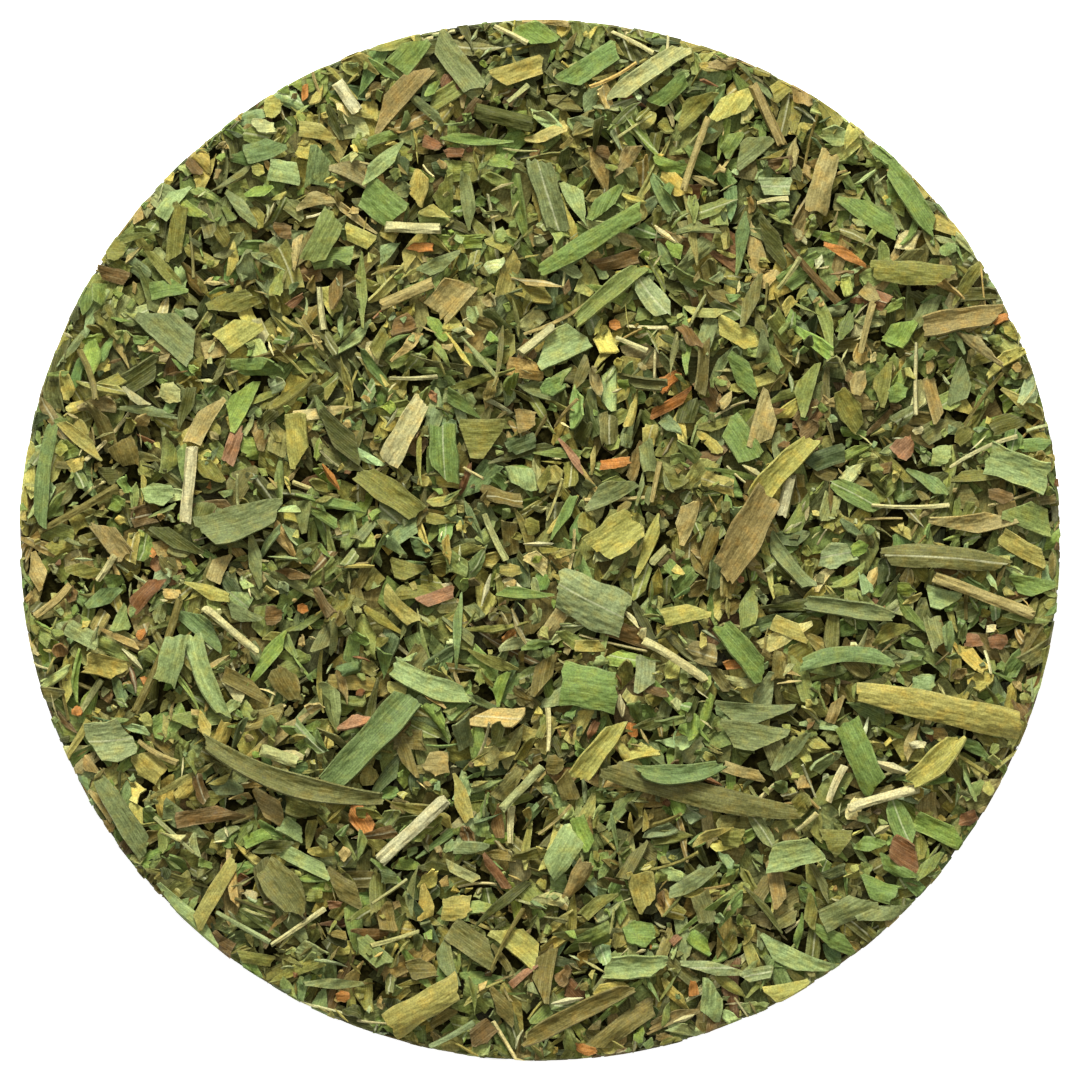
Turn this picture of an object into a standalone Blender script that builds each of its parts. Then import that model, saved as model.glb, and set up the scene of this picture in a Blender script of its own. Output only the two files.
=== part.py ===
"""A round bed of dried, cut tarragon, as turned out of a shallow dish.

The bed is a low cake of matted leaf cuttings. The longer leaf pieces and stalks lie loose on top of
it, each as its own object. Metres, +Z up; the origin is the middle of the flat underside.
"""

import math
import random
from collections import namedtuple

import bmesh
import bpy
from mathutils import Euler, Matrix, Vector
from mathutils.bvhtree import BVHTree

MM = 0.001

# Driving sizes of the bed
BED_RADIUS = 52.2 * MM
BED_HEIGHT = 9.0 * MM
RIM_SIDES = 96

# The matted heart that carries the cuttings
HEART_RADIUS = BED_RADIUS - 1.5 * MM
HEART_HEIGHT = BED_HEIGHT - 1.9 * MM
HEART_EDGE = 0.8 * MM

# Cuttings fused to the heart, larger than life so that they cover it
TOP_CUTTINGS = 168
RIM_CUTTINGS = 44
CUTTING_THICKNESS = 1.0 * MM
CUTTING_LENGTH = (6.0 * MM, 10.5 * MM)
CUTTING_WIDTH = (3.4 * MM, 5.2 * MM)
CUTTING_TILT = (5.0, 13.0)
CUTTING_LIFT = (0.15 * MM, 0.65 * MM)
FLOOR_MARGIN = 0.5 * MM
GOLDEN_ANGLE = math.pi * (3 - math.sqrt(5))
SEED = 11

# Loose pieces
BLADE_THICKNESS = 0.7 * MM
BLADE_LENGTHWISE = 6
BLADE_CROSSWISE = 2
CUP_SHARE = 0.12
STALK_POINTS = 5
REST_GAP = 0.3 * MM
SAMPLE_STEP = 0.4 * MM
MOST_LEAN = math.radians(9)
RIM_CLEARANCE = 0.1 * MM

# A leaf piece: its middle, length and width in millimetres, its turn in degrees from +X, how far its
# middle rises (arch) and swings sideways (sweep), each end's width as a share of the full width, and
# its colour.
Blade = namedtuple("Blade", "name x y length width turn arch sweep tail tip colour")
Stalk = namedtuple("Stalk", "name x y length width turn sweep colour")

# Colours of the dried pieces, as red, green and blue from 0 to 255
COLOURS = {
    "blue_green": (112, 146, 92),
    "brown_olive": (118, 104, 50),
    "cream": (225, 215, 165),
    "dark_olive": (72, 82, 42),
    "dark_teal": (70, 95, 70),
    "green": (105, 130, 65),
    "grey_green": (125, 135, 100),
    "grey_olive": (108, 112, 76),
    "light_green": (140, 160, 90),
    "matted": (105, 108, 52),
    "olive": (108, 110, 52),
    "olive_green": (112, 124, 62),
    "olive_yellow": (140, 135, 55),
    "pale_green": (150, 160, 118),
    "straw": (205, 190, 130),
    "straw_green": (178, 178, 112),
    "tan_brown": (145, 122, 72),
    "tan_yellow": (165, 148, 85),
    "yellow_green": (160, 165, 80),
}
LEAF_ROUGHNESS = 0.65
STALK_ROUGHNESS = 0.7

BLADES = (
    Blade("leaf_blade_01", 5.0, 29.9, 12.5, 1.6, 31, 0.4, 0.0, 0.5, 0.9, "blue_green"),
    Blade("leaf_blade_02", -17.0, -20.0, 12.6, 3.6, 47, 0.7, 0.0, 0.9, 1.0, "blue_green"),
    Blade("leaf_blade_03", 40.3, -17.1, 17.4, 2.8, -12, 0.7, 0.3, 0.5, 0.8, "olive_yellow"),
    Blade("leaf_blade_04", 16.2, -25.0, 20.4, 2.3, -13, 0.8, -0.6, 0.7, 0.3, "dark_olive"),
    Blade("leaf_blade_05", -24.5, -22.9, 19.4, 1.9, -18, 0.7, -1.5, 0.5, 0.4, "grey_olive"),
    Blade("leaf_blade_06", 40.5, -2.0, 13.2, 2.1, -4, 0.5, 0.2, 0.5, 0.3, "grey_olive"),
    Blade("leaf_blade_07", 30.9, -7.0, 9.6, 1.5, -9, 0.4, 0.2, 0.8, 0.3, "grey_green"),
    Blade("leaf_blade_08", -49.3, 6.5, 10.8, 1.2, 83, 0.4, 0.3, 0.8, 0.8, "blue_green"),
    Blade("leaf_blade_09", 30.6, -12.4, 9.8, 1.4, 3, 0.5, 0.9, 0.6, 0.8, "blue_green"),
    Blade("leaf_blade_10", -41.8, -27.6, 9.5, 1.9, -58, 0.4, 0.1, 0.5, 0.9, "grey_green"),
    Blade("leaf_blade_11", 3.8, -47.4, 12.5, 1.7, 27, 0.6, 0.2, 0.4, 0.6, "brown_olive"),
    Blade("leaf_blade_12", -33.1, -13.5, 9.3, 1.7, -67, 0.5, -0.5, 0.9, 0.2, "olive_green"),
    Blade("leaf_blade_13", 14.0, -22.6, 9.2, 1.7, 4, 0.5, -0.9, 0.3, 0.3, "dark_teal"),
    Blade("leaf_tip_01", -30.0, 2.2, 9.0, 3.0, 17, 0.6, -0.5, 1.0, 0.4, "dark_olive"),
    Blade("leaf_tip_02", 37.3, 34.3, 8.8, 1.9, -57, 0.5, 0.1, 0.8, 0.2, "green"),
    Blade("leaf_tip_03", 5.9, -21.0, 7.7, 1.9, 52, 0.5, 0.0, 1.0, 0.5, "olive_green"),
    Blade("leaf_tip_04", -25.8, -35.0, 6.6, 3.1, -55, 0.6, 0.2, 0.7, 0.2, "grey_olive"),
    Blade("leaf_tip_05", 39.4, -21.9, 7.3, 2.1, 42, 0.6, -0.4, 0.6, 0.5, "olive_yellow"),
    Blade("leaf_tip_06", 24.4, 7.0, 9.0, 2.2, 47, 0.5, 0.3, 0.8, 0.6, "yellow_green"),
    Blade("leaf_tip_07", 2.2, -31.3, 5.6, 2.6, 60, 0.5, 0.0, 0.5, 0.7, "light_green"),
    Blade("leaf_tip_08", -10.9, -14.1, 8.8, 2.0, -22, 0.6, -0.5, 1.0, 0.4, "light_green"),
    Blade("leaf_strip_01", 0.8, 34.5, 7.9, 2.3, -73, 0.4, 0.0, 0.8, 1.0, "grey_green"),
    Blade("leaf_strip_02", 11.0, 47.6, 9.6, 1.7, 36, 0.5, 0.1, 0.4, 1.0, "yellow_green"),
    Blade("leaf_strip_03", -21.7, 30.2, 5.8, 2.3, 63, 0.3, 0.0, 1.0, 1.0, "olive_green"),
    Blade("leaf_strip_04", -13.5, 10.9, 7.8, 2.1, 62, 0.4, 0.0, 0.9, 0.8, "tan_yellow"),
    Blade("leaf_strip_05", -9.6, 8.8, 6.2, 2.5, 92, 0.4, 0.0, 1.0, 1.0, "green"),
    Blade("leaf_strip_06", -15.0, 4.7, 7.9, 2.2, -36, 0.4, 0.0, 0.9, 0.9, "olive"),
    Blade("leaf_strip_07", 7.5, 0.4, 5.8, 3.3, 33, 0.4, 0.0, 1.0, 1.0, "yellow_green"),
    Blade("leaf_strip_08", 20.6, 0.6, 9.8, 3.2, 60, 0.6, 0.0, 0.8, 0.9, "tan_brown"),
    Blade("leaf_strip_09", 5.1, -6.1, 8.2, 4.3, -28, 0.7, 0.0, 0.8, 0.9, "pale_green"),
    Blade("leaf_strip_10", 4.9, -14.8, 6.3, 4.2, -8, 0.4, 0.0, 0.9, 0.9, "green"),
    Blade("leaf_strip_11", 20.2, -11.0, 7.2, 2.2, -48, 0.4, 0.0, 0.6, 1.0, "green"),
    Blade("leaf_strip_12", 48.1, 7.2, 7.0, 3.0, -18, 0.4, 0.0, 1.0, 1.0, "blue_green"),
    Blade("leaf_strip_13", 28.3, 35.8, 6.8, 2.0, 76, 0.4, 0.0, 0.9, 0.9, "tan_yellow"),
    Blade("leaf_strip_14", 37.1, 26.7, 8.6, 2.0, -6, 0.5, 0.0, 0.8, 1.0, "olive"),
    Blade("leaf_strip_15", 42.4, 22.1, 8.6, 2.0, 10, 0.5, 0.0, 0.9, 0.9, "tan_brown"),
    Blade("leaf_strip_16", 25.3, -31.4, 5.9, 2.5, 12, 0.4, 0.0, 1.0, 1.0, "light_green"),
    Blade("leaf_strip_17", 32.1, -21.5, 8.0, 2.6, -65, 0.5, 0.0, 0.9, 0.8, "green"),
    Blade("leaf_strip_18", -11.9, -47.5, 8.8, 2.6, 32, 0.5, 0.0, 1.0, 1.0, "olive_yellow"),
    Blade("leaf_strip_19", 9.5, -42.7, 6.4, 2.0, 1, 0.4, 0.0, 1.0, 1.0, "light_green"),
    Blade("leaf_strip_20", 6.9, 24.5, 9.2, 1.5, 40, 0.5, 0.2, 0.6, 0.8, "olive_green"),
    Blade("leaf_strip_21", -36.9, -11.9, 5.7, 2.1, 74, 0.3, 0.0, 1.0, 1.0, "light_green"),
    Blade("leaf_strip_22", -32.5, -35.3, 8.2, 1.4, 60, 0.4, 0.0, 0.8, 0.4, "olive_yellow"),
    Blade("leaf_strip_23", -42.9, -20.0, 5.0, 3.8, 5, 0.4, 0.0, 1.0, 0.8, "pale_green"),
)

STALKS = (
    Stalk("stalk_01", -35.1, 5.5, 7.8, 1.25, 84, 0.0, "cream"),
    Stalk("stalk_02", -12.7, -29.0, 9.2, 1.4, 43, 0.0, "straw"),
    Stalk("stalk_03", -12.7, 31.2, 5.7, 1.1, -2, 0.0, "straw_green"),
    Stalk("stalk_04", -19.3, 44.3, 3.7, 1.3, -56, 0.0, "cream"),
    Stalk("stalk_05", -26.1, -21.6, 3.9, 1.3, -20, 0.0, "cream"),
    Stalk("stalk_06", 34.4, -25.9, 7.5, 1.0, 16, 0.15, "straw"),
    Stalk("stalk_07", 44.4, -5.6, 10.8, 1.2, -21, 0.0, "tan_yellow"),
    Stalk("stem_01", -38.3, -11.6, 12.3, 0.8, 68, -0.4, "brown_olive"),
    Stalk("stem_02", -30.9, -9.0, 7.2, 0.8, -41, 0.0, "straw"),
    Stalk("stem_03", 13.5, -12.1, 7.6, 0.9, -33, 0.2, "straw"),
    Stalk("stem_04", -1.8, -24.8, 6.0, 0.9, 47, 0.0, "straw_green"),
    Stalk("stem_05", 15.6, 38.6, 7.8, 0.7, 71, 0.1, "straw"),
)


def clear_scene():
    for thing in list(bpy.data.objects):
        bpy.data.objects.remove(thing)


def new_collection(name):
    made = bpy.data.collections.new(name)
    bpy.context.scene.collection.children.link(made)
    return made


def linear(value):
    """A colour value from 0 to 255 as linear light."""
    share = value / 255
    return share / 12.92 if share <= 0.04045 else ((share + 0.055) / 1.055) ** 2.4


def finish_with(thing, colour, roughness):
    """Gives the object a material of its own."""
    made = bpy.data.materials.new(thing.name + "_finish")
    made.use_nodes = True
    shader = made.node_tree.nodes["Principled BSDF"]
    shader.inputs["Base Color"].default_value = (*map(linear, COLOURS[colour]), 1.0)
    shader.inputs["Roughness"].default_value = roughness
    shader.inputs["Metallic"].default_value = 0.0
    thing.data.materials.clear()
    thing.data.materials.append(made)


def object_from(name, shape, collection):
    """A new object that takes the bmesh, which is freed."""
    mesh = bpy.data.meshes.new(name)
    shape.to_mesh(mesh)
    shape.free()
    made = bpy.data.objects.new(name, mesh)
    collection.objects.link(made)
    return made


def keep_evaluated(thing):
    """Applies the object's modifiers by taking its evaluated mesh."""
    bpy.context.view_layer.update()
    graph = bpy.context.evaluated_depsgraph_get()
    mesh = bpy.data.meshes.new_from_object(thing.evaluated_get(graph))
    thing.modifiers.clear()
    thing.data = mesh
    return thing


def drum(name, radius, bottom, top, sides, collection):
    """An upright cylinder from bottom to top."""
    shape = bmesh.new()
    middle = Matrix.Translation((0, 0, (bottom + top) / 2))
    bmesh.ops.create_cone(
        shape, cap_ends=True, segments=sides, radius1=radius, radius2=radius, depth=top - bottom, matrix=middle
    )
    return object_from(name, shape, collection)


def cutting(name, length, width, kink, skew, collection):
    """A short thick cutting along X, kinked at its middle, with ends cut aslant."""
    shape = bmesh.new()
    bmesh.ops.create_cube(shape, size=1.0)
    bmesh.ops.scale(shape, vec=(length, width, CUTTING_THICKNESS), verts=shape.verts)
    everything = shape.verts[:] + shape.edges[:] + shape.faces[:]
    bmesh.ops.bisect_plane(shape, geom=everything, plane_co=(0, 0, 0), plane_no=(1, 0, 0))
    for corner in shape.verts:
        if abs(corner.co.x) < length / 4:
            corner.co.z += kink
        else:
            corner.co.x += skew * corner.co.y * math.copysign(1, corner.co.x)
    bmesh.ops.triangulate(shape, faces=shape.faces[:])
    return object_from(name, shape, collection)


def lay_top_cuttings(draw, collection):
    """Cuttings spread evenly over the heart's top, each tilted so that its low end is sunk in."""
    for index in range(TOP_CUTTINGS):
        reach = (BED_RADIUS - 1.2 * MM) * math.sqrt((index + 0.5) / TOP_CUTTINGS)
        around = index * GOLDEN_ANGLE
        length = draw.uniform(*CUTTING_LENGTH)
        width = draw.uniform(*CUTTING_WIDTH)
        kink = draw.uniform(0.1, 0.45) * MM
        piece = cutting(f"top_cutting_{index}", length, width, kink, draw.uniform(-0.5, 0.5), collection)
        tilt = math.radians(draw.uniform(*CUTTING_TILT))
        roll = math.radians(draw.uniform(-9, 9))
        piece.rotation_euler = Euler((roll, tilt, draw.uniform(0, 2 * math.pi)))
        lift = draw.uniform(*CUTTING_LIFT)
        piece.location = (reach * math.cos(around), reach * math.sin(around), HEART_HEIGHT + lift)


def lay_rim_cuttings(draw, collection):
    """Cuttings pressed flat against the dish's wall, standing out of the heart's side."""
    for index in range(RIM_CUTTINGS):
        around = 2 * math.pi * (index + draw.uniform(-0.2, 0.2)) / RIM_CUTTINGS
        length = draw.uniform(*CUTTING_LENGTH)
        width = draw.uniform(3.0, 4.2) * MM
        piece = cutting(f"rim_cutting_{index}", length, width, 0.3 * MM, draw.uniform(-0.4, 0.4), collection)
        lean = draw.uniform(-22, 22)
        along_wall = Euler((math.radians(90 + draw.uniform(-14, 14)), math.radians(lean), 0)).to_matrix()
        facing_out = Matrix.Rotation(around + math.pi / 2, 3, "Z")
        piece.rotation_euler = (facing_out @ along_wall).to_euler()
        rise = abs(math.sin(math.radians(lean))) * length / 2 + width / 2
        height = FLOOR_MARGIN + rise + draw.random() * max(0.0, HEART_HEIGHT - 2 * rise)
        reach = HEART_RADIUS + 0.45 * MM
        piece.location = (reach * math.cos(around), reach * math.sin(around), height)


def fused_bed(parts, cutters):
    """The heart with its cuttings joined on, cut true to the dish's circle."""
    draw = random.Random(SEED)
    cuttings = new_collection("cuttings")
    heart = drum("cuttings_bed", HEART_RADIUS, 0.0, HEART_HEIGHT, RIM_SIDES, parts)
    edge = heart.modifiers.new("Worn edge", "BEVEL")
    edge.width = HEART_EDGE
    edge.segments = 1
    edge.limit_method = "ANGLE"
    keep_evaluated(heart)
    lay_top_cuttings(draw, cuttings)
    lay_rim_cuttings(draw, cuttings)

    joined = heart.modifiers.new("Join the cuttings", "BOOLEAN")
    joined.operation = "UNION"
    joined.operand_type = "COLLECTION"
    joined.collection = cuttings
    keep_evaluated(heart)
    for piece in list(cuttings.objects):
        bpy.data.objects.remove(piece)
    bpy.data.collections.remove(cuttings)

    dish = drum("dish_wall", BED_RADIUS, 0.0, 2 * BED_HEIGHT, RIM_SIDES, cutters)
    dish.hide_render = True
    dish.display_type = "WIRE"
    trimmed = heart.modifiers.new("Trim to the dish", "BOOLEAN")
    trimmed.operation = "INTERSECT"
    trimmed.object = dish
    return keep_evaluated(heart)


def blade_outline(share, piece):
    """Half the blade's width at this share of its length, from tail to tip."""
    belly = 0.5 * piece.width * MM
    rise = piece.tail + (1 - piece.tail) * math.sin(math.pi / 2 * min(1.0, share / 0.4))
    fall = piece.tip + (1 - piece.tip) * math.sin(math.pi / 2 * min(1.0, (1 - share) / 0.4))
    return belly * min(rise, fall)


def blade(piece, collection):
    """A thin arched leaf piece, cupped across, lying along X at the origin."""
    shape = bmesh.new()
    bmesh.ops.create_grid(shape, x_segments=BLADE_LENGTHWISE, y_segments=BLADE_CROSSWISE, size=0.5)
    for point in shape.verts:
        share = point.co.x + 0.5
        across = 2 * point.co.y
        bow = 1 - (2 * share - 1) ** 2
        cup = -CUP_SHARE * piece.width * MM * (1 - across**2)
        half_width = blade_outline(share, piece)
        point.co = (
            (share - 0.5) * piece.length * MM,
            across * half_width + bow * piece.sweep * MM,
            bow * piece.arch * MM + cup,
        )
    made = object_from(piece.name, shape, collection)
    wall = made.modifiers.new("Leaf thickness", "SOLIDIFY")
    wall.thickness = BLADE_THICKNESS
    wall.offset = 0.0
    return keep_evaluated(made)


def stalk(piece, collection):
    """A round stalk along X, as a bevelled curve made into a welded mesh."""
    line = bpy.data.curves.new(piece.name, "CURVE")
    line.dimensions = "3D"
    line.bevel_depth = piece.width * MM / 2
    line.bevel_resolution = 2
    line.use_fill_caps = True
    spline = line.splines.new("POLY")
    spline.points.add(STALK_POINTS - 1)
    for index, point in enumerate(spline.points):
        share = index / (STALK_POINTS - 1)
        bow = 1 - (2 * share - 1) ** 2
        point.co = ((share - 0.5) * piece.length * MM, bow * piece.sweep * MM, 0.0, 1.0)
    guide = bpy.data.objects.new(piece.name + "_line", line)
    collection.objects.link(guide)
    bpy.context.view_layer.update()
    graph = bpy.context.evaluated_depsgraph_get()
    mesh = bpy.data.meshes.new_from_object(guide.evaluated_get(graph))
    bpy.data.objects.remove(guide)
    shape = bmesh.new()
    shape.from_mesh(mesh)
    bmesh.ops.remove_doubles(shape, verts=shape.verts, dist=0.0001 * MM)
    bpy.data.meshes.remove(mesh)
    return object_from(piece.name, shape, collection)


def tree_of(thing):
    """The object's surface in world space, for ray casts."""
    points = [thing.matrix_world @ v.co for v in thing.data.vertices]
    faces = [tuple(f.vertices) for f in thing.data.polygons]
    return BVHTree.FromPolygons(points, faces)


def height_under(trees, x, y):
    """The highest surface of what lies below, at this place."""
    high = Vector((x, y, 4 * BED_HEIGHT))
    hits = [tree.ray_cast(high, Vector((0, 0, -1)))[0] for tree in trees]
    heights = [hit.z for hit in hits if hit is not None]
    return max(heights) if heights else None


def footprint(thing):
    """(x, y, z of the underside) at samples all over the piece."""
    tree = tree_of(thing)
    corners = [thing.matrix_world @ Vector(c) for c in thing.bound_box]
    west, east = min(c.x for c in corners), max(c.x for c in corners)
    south, north = min(c.y for c in corners), max(c.y for c in corners)
    samples = []
    for column in range(int((east - west) / SAMPLE_STEP) + 1):
        for row in range(int((north - south) / SAMPLE_STEP) + 1):
            x, y = west + column * SAMPLE_STEP, south + row * SAMPLE_STEP
            hit = tree.ray_cast(Vector((x, y, -BED_HEIGHT)), Vector((0, 0, 1)))[0]
            if hit is not None:
                samples.append((x, y, hit.z))
    return samples


def lean_of(samples, trees):
    """The slope of the bed below the samples, east and north, by least squares."""
    places = [(x, y, height_under(trees, x, y)) for x, y, _ in samples]
    places = [place for place in places if place[2] is not None]
    count = len(places)
    mean_x, mean_y, mean_z = (sum(place[k] for place in places) / count for k in range(3))
    xx = sum((x - mean_x) ** 2 for x, _, _ in places)
    yy = sum((y - mean_y) ** 2 for _, y, _ in places)
    xy = sum((x - mean_x) * (y - mean_y) for x, y, _ in places)
    xz = sum((x - mean_x) * (z - mean_z) for x, _, z in places)
    yz = sum((y - mean_y) * (z - mean_z) for _, y, z in places)
    spread = xx * yy - xy * xy
    slope_x = (xz * yy - yz * xy) / spread
    slope_y = (yz * xx - xz * xy) / spread
    return slope_x, slope_y


def turned(piece):
    """The piece's heading, at its place but well above the bed."""
    place = Vector((piece.x * MM, piece.y * MM, 2 * BED_HEIGHT))
    return Matrix.Translation(place), Matrix.Rotation(math.radians(piece.turn), 4, "Z")


def lean_with_bed(thing, piece, trees):
    """Turns the piece to its heading and leans it with the bed below it."""
    place, turn = turned(piece)
    thing.matrix_world = place @ turn
    bpy.context.view_layer.update()
    slope_x, slope_y = lean_of(footprint(thing), trees)
    normal = Vector((-slope_x, -slope_y, 1)).normalized()
    upright = Vector((0, 0, 1))
    lean = min(upright.angle(normal), MOST_LEAN)
    leaned = Matrix.Rotation(lean, 4, upright.cross(normal)) if lean > 1e-4 else Matrix.Identity(4)
    thing.matrix_world = place @ leaned @ turn
    bpy.context.view_layer.update()


def draw_inside_rim(thing):
    """Slides a piece that would pass the rim back towards the middle."""
    farthest = max((thing.matrix_world @ v.co for v in thing.data.vertices), key=lambda p: p.to_2d().length)
    inward = farthest.to_2d().length - (BED_RADIUS - RIM_CLEARANCE)
    if inward > 0:
        back = -inward * farthest.to_2d().normalized()
        thing.matrix_world = Matrix.Translation((back.x, back.y, 0)) @ thing.matrix_world
        bpy.context.view_layer.update()


def seat(thing, piece, trees):
    """Leans the piece with the bed, keeps it inside the rim and lowers it until it almost touches."""
    lean_with_bed(thing, piece, trees)
    draw_inside_rim(thing)
    gaps = []
    for x, y, underside in footprint(thing):
        below = height_under(trees, x, y)
        if below is not None:
            gaps.append(underside - below)
    drop = min(gaps) - REST_GAP
    thing.matrix_world = Matrix.Translation((0, 0, -drop)) @ thing.matrix_world
    bpy.context.view_layer.update()


def build():
    clear_scene()
    parts = new_collection("dried_tarragon_bed")
    cutters = new_collection("cutters")
    bed = fused_bed(parts, cutters)
    finish_with(bed, "matted", LEAF_ROUGHNESS)
    below = [tree_of(bed)]
    for piece in STALKS + BLADES:
        is_stalk = isinstance(piece, Stalk)
        made = stalk(piece, parts) if is_stalk else blade(piece, parts)
        finish_with(made, piece.colour, STALK_ROUGHNESS if is_stalk else LEAF_ROUGHNESS)
        made.data.shade_smooth()
        made.data.set_sharp_from_angle(angle=math.radians(35))
        seat(made, piece, below)
        below.append(tree_of(made))


build()
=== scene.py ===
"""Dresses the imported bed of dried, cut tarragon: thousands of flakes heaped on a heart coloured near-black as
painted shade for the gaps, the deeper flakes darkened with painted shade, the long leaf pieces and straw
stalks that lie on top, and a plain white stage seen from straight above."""

import math
from collections import namedtuple

import bmesh
import bpy
import numpy as np
from bpy.props import FloatProperty, FloatVectorProperty, IntProperty, PointerProperty
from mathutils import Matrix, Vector
from mathutils.bvhtree import BVHTree


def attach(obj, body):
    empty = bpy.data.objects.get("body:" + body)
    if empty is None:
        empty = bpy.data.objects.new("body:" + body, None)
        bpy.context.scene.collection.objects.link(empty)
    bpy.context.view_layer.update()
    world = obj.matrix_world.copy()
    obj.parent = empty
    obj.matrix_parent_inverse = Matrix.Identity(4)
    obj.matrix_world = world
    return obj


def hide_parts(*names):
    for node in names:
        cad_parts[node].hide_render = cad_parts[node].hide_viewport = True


bl_info = {
    "name": "Dried tarragon bed",
    "version": (1, 0, 0),
    "blender": (4, 5, 0),
    "location": "3D View > Sidebar > Tarragon",
    "description": "Builds a round bed of dried, cut tarragon over its packed model",
    "category": "Object",
}

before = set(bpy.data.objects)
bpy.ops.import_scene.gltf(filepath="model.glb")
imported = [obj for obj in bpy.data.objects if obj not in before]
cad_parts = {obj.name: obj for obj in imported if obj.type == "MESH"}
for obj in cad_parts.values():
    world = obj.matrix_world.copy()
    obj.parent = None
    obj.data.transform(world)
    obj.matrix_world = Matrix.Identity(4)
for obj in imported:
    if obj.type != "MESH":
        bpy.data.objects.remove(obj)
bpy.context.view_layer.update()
BED_NODE = "cuttings_bed"
MM = 0.001
BED_TOP = 9 * MM

# Colours of the dried pieces, given as red, green and blue from 0 to 255
PALETTE = {
    "blue_green": (106, 126, 72),
    "bright_green": (119, 142, 62),
    "brown": (106, 86, 48),
    "brown_olive": (110, 101, 50),
    "cream": (198, 192, 142),
    "dark_olive": (74, 78, 32),
    "dark_teal": (80, 94, 54),
    "green": (109, 131, 64),
    "grey_green": (115, 125, 76),
    "grey_olive": (106, 105, 56),
    "light_green": (140, 158, 98),
    "olive": (118, 118, 54),
    "olive_green": (118, 130, 66),
    "olive_yellow": (155, 147, 76),
    "orange": (168, 114, 54),
    "pale_green": (142, 154, 102),
    "pink": (146, 108, 74),
    "red_brown": (116, 82, 50),
    "straw": (186, 180, 124),
    "straw_green": (166, 168, 108),
    "tan": (158, 144, 88),
    "tan_brown": (140, 124, 72),
    "yellow_green": (160, 157, 80),
}


def linear(colour):
    """A colour from 0 to 255 as linear light."""
    share = np.asarray(colour) / 255
    return tuple(np.where(share <= 0.04045, share / 12.92, ((share + 0.055) / 1.055) ** 2.4))


# ---------------------------------------------------------------- settings


def named_colours():
    """One colour property for each entry of the palette."""
    return {
        name: FloatVectorProperty(
            name=name.replace("_", " ").capitalize(),
            description=f"Base colour of the {name.replace('_', ' ')} pieces",
            subtype="COLOR",
            size=3,
            min=0,
            max=1,
            default=linear(colour),
        )
        for name, colour in PALETTE.items()
    }


class TARRAGON_PG_colours(bpy.types.PropertyGroup):
    """Colours of the dried pieces"""

    __annotations__ = named_colours()


class TARRAGON_PG_bed(bpy.types.PropertyGroup):
    """Sizes of the bed and of its flakes"""

    radius: FloatProperty(
        name="Radius", description="Radius that the flakes are cut to", default=0.0522, unit="LENGTH"
    )
    # The heart's near-black colour is painted shade for the gaps between the flakes
    heart_height: FloatProperty(
        name="Heart height", description="Top of the dark matted heart", default=0.0056, unit="LENGTH"
    )
    heart_radius: FloatProperty(
        name="Heart radius", description="Radius of the dark matted heart", default=0.0514, unit="LENGTH"
    )
    leaf_thickness: FloatProperty(
        name="Leaf thickness", description="Thickness of a dried leaf", default=0.00018, unit="LENGTH"
    )
    deep_flakes: IntProperty(
        name="Deep flakes", description="Plain flakes low in the heap", default=1350, min=0
    )
    lower_flakes: IntProperty(
        name="Lower flakes", description="Curled flakes below the surface", default=1950, min=0
    )
    upper_flakes: IntProperty(
        name="Upper flakes", description="Curled flakes at the surface", default=700, min=0
    )
    fine_flakes: IntProperty(
        name="Fine flakes", description="Needles and small bits between them", default=1150, min=0
    )
    finest_flakes: IntProperty(
        name="Finest flakes", description="Broken bits that fill the dips", default=850, min=0
    )
    rim_flakes: IntProperty(
        name="Rim flakes", description="Flakes that stand round the side", default=1100, min=0
    )
    base_flakes: IntProperty(
        name="Base flakes", description="Flakes that lie under the bed", default=1300, min=0
    )
    crumbs: IntProperty(
        name="Crumbs", description="Small crumbs scattered last", default=700, min=0
    )
    seed: IntProperty(name="Seed", description="Start of the random layout", default=5)


class TARRAGON_PG_finish(bpy.types.PropertyGroup):
    """Sizes and strengths of the leaf's surface detail"""

    vein_spacing: FloatProperty(
        name="Vein spacing",
        description="Distance between parallel veins, in millimetres",
        default=0.22, min=0.05,
    )
    leaf_roughness: FloatProperty(
        name="Leaf roughness",
        description="Roughness of dried leaf",
        default=0.62, subtype="FACTOR", min=0, max=1,
    )
    stalk_roughness: FloatProperty(
        name="Stalk roughness",
        description="Roughness of dry straw",
        default=0.55, subtype="FACTOR", min=0, max=1,
    )


class TARRAGON_PG_stage(bpy.types.PropertyGroup):
    """The camera, the lights and the floor"""

    camera_height: FloatProperty(
        name="Camera height", description="Height of the lens above the floor", default=1.0, unit="LENGTH"
    )
    frame_width: FloatProperty(
        name="Frame width",
        description="Width that the picture takes in at the bed's top",
        default=0.108, unit="LENGTH",
    )
    softbox_power: FloatProperty(
        name="Softbox power", description="Power of the overhead light", default=6.9, unit="POWER"
    )
    key_power: FloatProperty(
        name="Key power",
        description="Power of the light from the top of the picture",
        default=21.5, unit="POWER",
    )
    sky: FloatProperty(
        name="Sky", description="Strength of the even light from all round", default=0.055, min=0
    )
    floor_glow: FloatProperty(
        name="Floor glow", description="Light that the white floor gives off", default=0.85, min=0
    )


def settings():
    return bpy.context.scene.tarragon_bed


def colour_of(name):
    return getattr(bpy.context.scene.tarragon_colours, name)


# ---------------------------------------------------------------- modelling the shapes that repeat

# A flat or solid form in unit size: x runs along, y across. A sheet's z is +-0.5 on its two faces.
Shape = namedtuple("Shape", "points faces margin solid")

SHAPES = {}


def deselect_all():
    if bpy.context.mode != "OBJECT":
        bpy.ops.object.mode_set(mode="OBJECT")
    bpy.ops.object.select_all(action="DESELECT")


def new_sheet(columns, rows, shaping):
    """A flat grid of unit size, cut to its outline by shaping."""
    deselect_all()
    bpy.ops.mesh.primitive_grid_add(x_subdivisions=columns, y_subdivisions=rows, size=1)
    thing = bpy.context.object
    bpy.ops.object.mode_set(mode="EDIT")
    shaping()
    bpy.ops.object.mode_set(mode="OBJECT")
    return thing


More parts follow.
